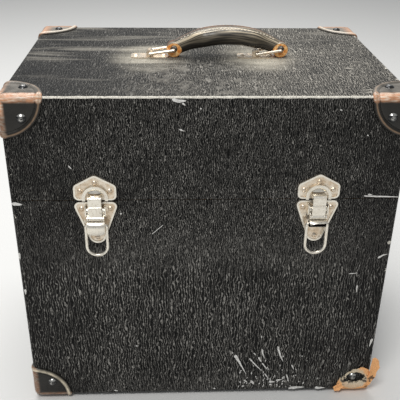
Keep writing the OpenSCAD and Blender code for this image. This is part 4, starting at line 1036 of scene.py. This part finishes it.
# The finger hoods from their lower edge up: places (out from the front, up from the seam) in
# mm. The right one has been torn open: it stands out, and its left end hangs.
LEVER_HOODS = {
    "left": (
        (10.9, -31.6), (11.7, -30.2), (12.3, -28.3), (12.7, -26.2),
        (12.8, -24.0), (12.5, -22.0), (11.6, -20.3), (10.0, -19.3),
    ),
    "right": (
        (13.7, -20.6), (13.2, -20.2), (12.6, -19.8), (11.9, -19.5),
        (11.1, -19.2), (10.3, -19.1), (9.4, -19.3), (8.5, -19.9),
    ),
}
HOOD_THICKNESS = 0.9 * MM
HOOD_CROWN = 0.9 * MM
HOOD_DROOP = {"left": 0.0, "right": 1.6 * MM}

# The keepers' bosses: radius and height of the dome, and how far its middle and the cut above
# the claw lie over the seam
BOSS_RADIUS = 9.3 * MM
BOSS_HEIGHT = 3.2 * MM
BOSS_MIDDLE = 4.0 * MM
BOSS_CUT = 9.0 * MM
LIP_CUT = 2.4 * MM  # the right lever's lip is torn off this far under the ring's pin


class CASE_OT_hardware(bpy.types.Operator):
    """Finishes the latches, hinges and handle fittings"""

    bl_idname = "projector_case.hardware"
    bl_label = "Hardware"

    def execute(self, context):
        finish = context.scene.case_finish
        rivets = [name for name in NODES if name.endswith("_rivets")]
        nickel = make_material("nickel_plate", nickel_plate, finish, 0.1)
        wiped = make_material("wiped_nickel", nickel_plate, finish, 0.55, 0.55)
        for starts, material in (
            (("latch_", "keeper_"), nickel),
            (("hinge_", "handle_link", "handle_anchors"), wiped),
        ):
            dress([n for n in NODES if n.startswith(starts) and n not in rivets], material)
        dress(rivets, make_material("tarnished_nickel", nickel_plate, finish, 0.6))
        for side in LEVER_HOODS:
            self.raise_boss(side, nickel)
            self.bend_hood(side, nickel)
        self.open_lever(finish)
        return {"FINISHED"}

    def raise_boss(self, side, nickel):
        """The keeper's pressed boss: a low dome inside its arch, cut off above the claw."""
        low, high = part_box("keeper_" + side)
        middle = Vector(((low.x + high.x) / 2, FRONT_Y - PLATE_RECESS, SEAM_Z + BOSS_MIDDLE))
        bm = bmesh.new()
        bmesh.ops.create_uvsphere(bm, u_segments=48, v_segments=24, radius=1.0)
        size = Matrix.Diagonal((BOSS_RADIUS, BOSS_HEIGHT, BOSS_RADIUS, 1))
        bmesh.ops.transform(bm, verts=bm.verts, matrix=Matrix.Translation(middle) @ size)
        keep_above(bm, middle, Vector((0, -1, 0)))
        keep_above(bm, Vector((0, 0, SEAM_Z + BOSS_CUT)), Vector((0, 0, 1)))
        finish_piece(bm, "keeper_boss_" + side, "lid", nickel)

    def open_lever(self, finish):
        """The right lever without its torn lip, with a painted shade in its roll."""
        pin = Vector(JOINTS["latch_ring_right"]["pos_m"])
        bm = bmesh.new()
        bm.from_mesh(NODES["latch_lever_right"].data)
        bmesh.ops.remove_doubles(bm, verts=bm.verts, dist=WELD)
        keep_above(bm, pin - Vector((0, 0, LIP_CUT)), Vector((0, 0, 1)))
        painted_pin_shade = make_material("nickel_painted_pin_shade", partial(nickel_plate, painted_pin_shade=pin), finish, 0.1)
        finish_piece(
            bm, "opened_lever_right", "lever_right", painted_pin_shade, ["latch_lever_right"]
        )

    def bend_hood(self, side, nickel):
        """The lever's rolled finger hood: a crowned strip bent over the roll of the ring."""
        profile, droop = LEVER_HOODS[side], HOOD_DROOP[side]
        low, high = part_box("latch_lever_" + side)
        middle, half = (low.x + high.x) / 2, (high.x - low.x) / 2
        bm = bmesh.new()
        rows = len(profile) - 1
        bmesh.ops.create_grid(bm, x_segments=10, y_segments=rows, size=1.0)
        for vert in bm.verts:
            u, v = vert.co.x, vert.co.y
            out, up = profile[round((v + 1) / 2 * rows)]
            lower = smooth_step(0.2, 1.0, -v)
            crown = HOOD_CROWN * (1 - u**4)
            narrow = 1 - 0.12 * lower * abs(u)
            hanging = droop * lower * max(-u, 0) ** 2
            bow = 0.3 * MM * (1 - u**2) * (v < -0.9 and not droop)
            vert.co = (
                middle + u * half * narrow,
                FRONT_Y - out * MM - crown,
                SEAM_Z + up * MM - bow - hanging,
            )
        thicken(bm, bm.verts, -HOOD_THICKNESS, Vector((0, -1, 0)))
        finish_piece(bm, "lever_hood_" + side, "lever_" + side, nickel)


# The grip: where its padding stops short of the loops' middles, where it narrows and thins from
# its middle to its ends, its stitched grooves, the stitches, and the softened edge of the loops
PADDING_STOP = 3.5 * MM
NARROWING = (23 * MM, 42 * MM)
THINNING = (26 * MM, 54 * MM)
GROOVE_DEPTH = 0.7 * MM
GROOVE_HALF = 1.4 * MM
STITCH_RADIUS = 0.85 * MM
STITCH_LIFT = 0.3 * MM
UNSEWN_ANGLE = 0.07
LOOP_EDGE = 0.9 * MM


class CASE_OT_grip(bpy.types.Operator):
    """Makes the stitched leather grip with its end loops"""

    bl_idname = "projector_case.grip"
    bl_label = "Grip"

    def execute(self, context):
        grip = context.scene.case_grip
        radius, centre_z = grip_arc()
        centre = Vector((GRIP_X, MID_Y, centre_z))
        half_angle = math.asin((ANCHOR_X - PADDING_STOP) / radius)
        leather = make_material("grip_leather", grip_leather, context.scene.case_finish)
        bm = bmesh.new()
        self.spin_body(bm, grip, centre, radius, half_angle)
        for side in (-1, 1):
            self.spin_loop(bm, grip, Vector((GRIP_X + side * ANCHOR_X, MID_Y, LOOP.z)))
        finish_piece(bm, "grip_leather", "grip", leather, ["handle_grip"])
        self.sew(grip, centre, radius, half_angle)
        return {"FINISHED"}

    def section(self, grip, along):
        """Half width, half thickness and stitch row of the grip at a distance from its middle."""
        neck = smooth_step(*NARROWING, abs(along))
        half_width = (grip.width + (grip.neck_width - grip.width) * neck) / 2
        slim = smooth_step(*THINNING, abs(along))
        row = grip.stitch_inset * half_width / (grip.width / 2)
        return half_width, grip.thickness / 2 * (1 - 0.2 * slim), row

    def surface(self, grip, along, turn):
        """Sideways and outward offset of the skin at an angle round the section."""
        half_width, half_thick, row = self.section(grip, along)
        cos, sin = math.cos(turn), math.sin(turn)
        power = 2 / grip.squareness
        side = math.copysign(abs(cos) ** power, cos) * half_width
        out = math.copysign(abs(sin) ** power, sin) * half_thick
        if sin > 0:
            # A padded crown between the two stitched grooves
            out -= GROOVE_DEPTH * (1 - smooth_step(0, GROOVE_HALF, abs(abs(side) - row)))
        return side, out

    def spin_body(self, bm, grip, centre, radius, half_angle):
        """Spins a ring along the arc, on a wide circle, and shapes each section of it."""
        wide = 10
        ring = bmesh.ops.create_circle(bm, cap_ends=False, segments=56, radius=1.0)["verts"]
        for vert in ring:
            vert.co = Vector((0, vert.co.x, vert.co.y + wide))
        lean = Matrix.Rotation(-half_angle, 3, "Y")
        bmesh.ops.rotate(bm, verts=ring, cent=(0, 0, 0), matrix=lean)
        spin(bm, ring, bm.edges[:], (0, 0, 0), (0, 1, 0), 2 * half_angle, 72)
        for vert in bm.verts:
            bend = math.atan2(vert.co.x, vert.co.z)
            turn = math.atan2(math.hypot(vert.co.x, vert.co.z) - wide, vert.co.y)
            side, out = self.surface(grip, radius * math.sin(bend), turn)
            reach = radius + out
            vert.co = centre + Vector((reach * math.sin(bend), side, reach * math.cos(bend)))
        bmesh.ops.holes_fill(bm, edges=[e for e in bm.edges if e.is_boundary], sides=0)

    def spin_loop(self, bm, grip, place):
        """Spins the end loop that holds the wire link."""
        hole, outer, soft = HOLE_RADIUS, grip.loop_radius, LOOP_EDGE
        half = grip.neck_width / 2
        # Radius and distance from the end face, from the hole round the edge to the middle
        profile = [
            (hole, soft),
            (hole + soft, 0.0),
            (outer - 1.6 * soft, 0.0),
            (outer - 0.4 * soft, 0.5 * soft),
            (outer, 1.6 * soft),
        ]
        near = [place + Vector((0, inward - half, r)) for r, inward in profile]
        far = [place + Vector((0, half - inward, r)) for r, inward in reversed(profile)]
        before = set(bm.verts)
        ring = [bm.verts.new(point) for point in near + far]
        edges = [bm.edges.new(pair) for pair in zip(ring, ring[1:] + ring[:1])]
        spin(bm, ring, edges, place, (0, 1, 0), 2 * math.pi, 40)
        for vert in set(bm.verts) - before:
            offset = vert.co - place
            inner = 1 - smooth_step(hole + soft, outer - soft, math.hypot(offset.x, offset.z))
            vert.co.z += HOLE_LIFT * inner

    def sew(self, grip, centre, radius, half_angle):
        """Two rows of stitches along the grooves, which stop short of the ends."""
        bm = bmesh.new()
        sewn_angle = half_angle - UNSEWN_ANGLE
        count = int(radius * 2 * sewn_angle / grip.stitch_pitch)
        size = Matrix.Diagonal((0.4 * grip.stitch_pitch, STITCH_RADIUS, STITCH_RADIUS, 1))
        for side in (-1, 1):
            for i in range(count + 1):
                bend = sewn_angle * (2 * i / count - 1)
                along = radius * math.sin(bend)
                half_width, _, row = self.section(grip, along)
                turn = math.acos((row / half_width) ** (grip.squareness / 2))
                out = self.surface(grip, along, turn)[1]
                lift = Matrix.Translation((0, side * row, radius + out + STITCH_LIFT))
                bent = Matrix.Translation(centre) @ Matrix.Rotation(bend, 4, "Y")
                bmesh.ops.create_icosphere(
                    bm, subdivisions=1, radius=1.0, matrix=bent @ lift @ size
                )
        thread = make_material("waxed_thread", waxed_thread)
        finish_piece(bm, "grip_stitches", "grip", thread)


class CASE_OT_projector(bpy.types.Operator):
    """Finishes the projector inside the case"""

    bl_idname = "projector_case.projector"
    bl_label = "Projector"

    def execute(self, context):
        finish = context.scene.case_finish
        casting = make_material("crackle_casting", crackle_enamel, finish, 2.4 * MM)
        sheet = make_material("crackle_sheet", crackle_enamel, finish, 1.5 * MM)
        aluminium, steel, brass = (
            make_material(name, worked_metal, *look)
            for name, *look in (
                ("bare_aluminium", "#d2d3d4", "#aeb0b1", 0.26, 0.08, 0.8 * MM),
                ("bright_steel", "#b9babb", "#8c8b88", 0.2, 0.1, 0.7 * MM),
                ("brass", "#c8a654", "#94743a", 0.2, 0.08, 0.7 * MM),
            )
        )
        dress(["projector_base", "mechanism_housing", "mechanism_cover"], casting)
        dress(["lamphouse", "lamphouse_cap", "motor", "supply_arm", "takeup_arm"], sheet)
        dress(["film_gate", "lens_carriage", "takeup_reel"], aluminium)
        dress(["main_shaft", "upper_sprocket", "lower_sprocket", "shutter"], steel)
        dress(["motor_pulley", "supply_spindle", "takeup_spindle", "power_switch"], steel)
        dress(["lens_barrel", "lamp_socket"], brass)
        dress(["drive_belt"], make_material("belt_rubber", belt_rubber))
        dress(["condenser_lens", "lamp", "lens_glass"], make_material("clear_glass", clear_glass))
        return {"FINISHED"}


class CASE_OT_stage(bpy.types.Operator):
    """Lays the floor and sets the lights and the camera"""

    bl_idname = "projector_case.stage"
    bl_label = "Stage"

    def execute(self, context):
        scene = context.scene
        self.lay_floor(scene)
        self.set_lights(scene)
        self.set_camera(scene, scene.case_stage)
        scene.view_settings.view_transform = "Standard"
        return {"FINISHED"}

    def lay_floor(self, scene):
        """A wide plain floor at the feet."""
        bm = bmesh.new()
        bmesh.ops.create_grid(bm, x_segments=1, y_segments=1, size=FLOOR_HALF)
        mesh = bpy.data.meshes.new("floor")
        bm.to_mesh(mesh)
        bm.free()
        floor = bpy.data.objects.new("floor", mesh)
        scene.collection.objects.link(floor)
        mesh.materials.append(make_material("pale_floor", pale_floor, scene.case_stage))

    def set_lights(self, scene):
        """A broad soft light above and behind, a key light in front, and a pale sky."""
        world = bpy.data.worlds.new("studio")
        scene.world = world
        world.use_nodes = True
        sky = world.node_tree.nodes["Background"]
        sky.inputs["Color"].default_value = linear("#e8ebee")
        sky.inputs["Strength"].default_value = 0.42
        aim = Vector((0, MID_Y, 200 * MM))
        for name, place, width, power in (
            ("overhead_softbox", (-0.2, 0.75, 1.9), 1.5, 36.0),
            ("front_softbox", (-0.45, -1.05, 1.95), 0.6, 22.0),
        ):
            lamp = bpy.data.lights.new(name, "AREA")
            lamp.size = width
            lamp.energy = power
            holder = bpy.data.objects.new(name, lamp)
            holder.location = place
            holder.rotation_euler = (aim - Vector(place)).to_track_quat("-Z", "Y").to_euler()
            scene.collection.objects.link(holder)

    def set_camera(self, scene, stage):
        """A camera that sees the case as the photograph does."""
        lens = bpy.data.cameras.new("camera")
        lens.sensor_width = SENSOR_WIDTH
        lens.lens = SENSOR_WIDTH * stage.focal_pixels / PHOTO_PIXELS
        lens.clip_start = 10 * MM
        camera = bpy.data.objects.new("camera", lens)
        camera.matrix_world = (
            Matrix.Translation(stage.camera_place)
            @ Matrix.Rotation(-stage.camera_yaw, 4, "Z")
            @ Matrix.Rotation(math.pi / 2 - stage.camera_pitch, 4, "X")
            @ Matrix.Rotation(stage.camera_roll, 4, "Z")
        )
        scene.collection.objects.link(camera)
        scene.camera = camera


OPERATORS = (
    CASE_OT_stage,
    CASE_OT_covering,
    CASE_OT_corners,
    CASE_OT_paint,
    CASE_OT_hardware,
    CASE_OT_grip,
    CASE_OT_projector,
)
SETTINGS = {
    "case_finish": FinishSettings,
    "case_corners": CornerSettings,
    "case_grip": GripSettings,
    "case_stage": StageSettings,
}


class CASE_PT_sidebar(bpy.types.Panel):
    """Lists the pieces and their settings"""

    bl_idname = "CASE_PT_sidebar"
    bl_label = "Projector Case"
    bl_space_type = "VIEW_3D"
    bl_region_type = "UI"
    bl_category = "Projector Case"

    def draw(self, context):
        for kind in OPERATORS:
            self.layout.operator(kind.bl_idname)
        for group in SETTINGS:
            settings = getattr(context.scene, group)
            column = self.layout.column()
            for name in settings.__annotations__:
                column.prop(settings, name)


CLASSES = (*SETTINGS.values(), *OPERATORS, CASE_PT_sidebar)


def register():
    for kind in CLASSES:
        bpy.utils.register_class(kind)
    for group, kind in SETTINGS.items():
        setattr(bpy.types.Scene, group, bpy.props.PointerProperty(type=kind))


def unregister():
    for group in SETTINGS:
        delattr(bpy.types.Scene, group)
    for kind in reversed(CLASSES):
        bpy.utils.unregister_class(kind)


def main():
    register()
    bpy.ops.projector_case.stage()
    bpy.ops.projector_case.covering()
    bpy.ops.projector_case.corners()
    bpy.ops.projector_case.paint()
    bpy.ops.projector_case.hardware()
    bpy.ops.projector_case.grip()
    bpy.ops.projector_case.projector()


if __name__ == "__main__":
    main()
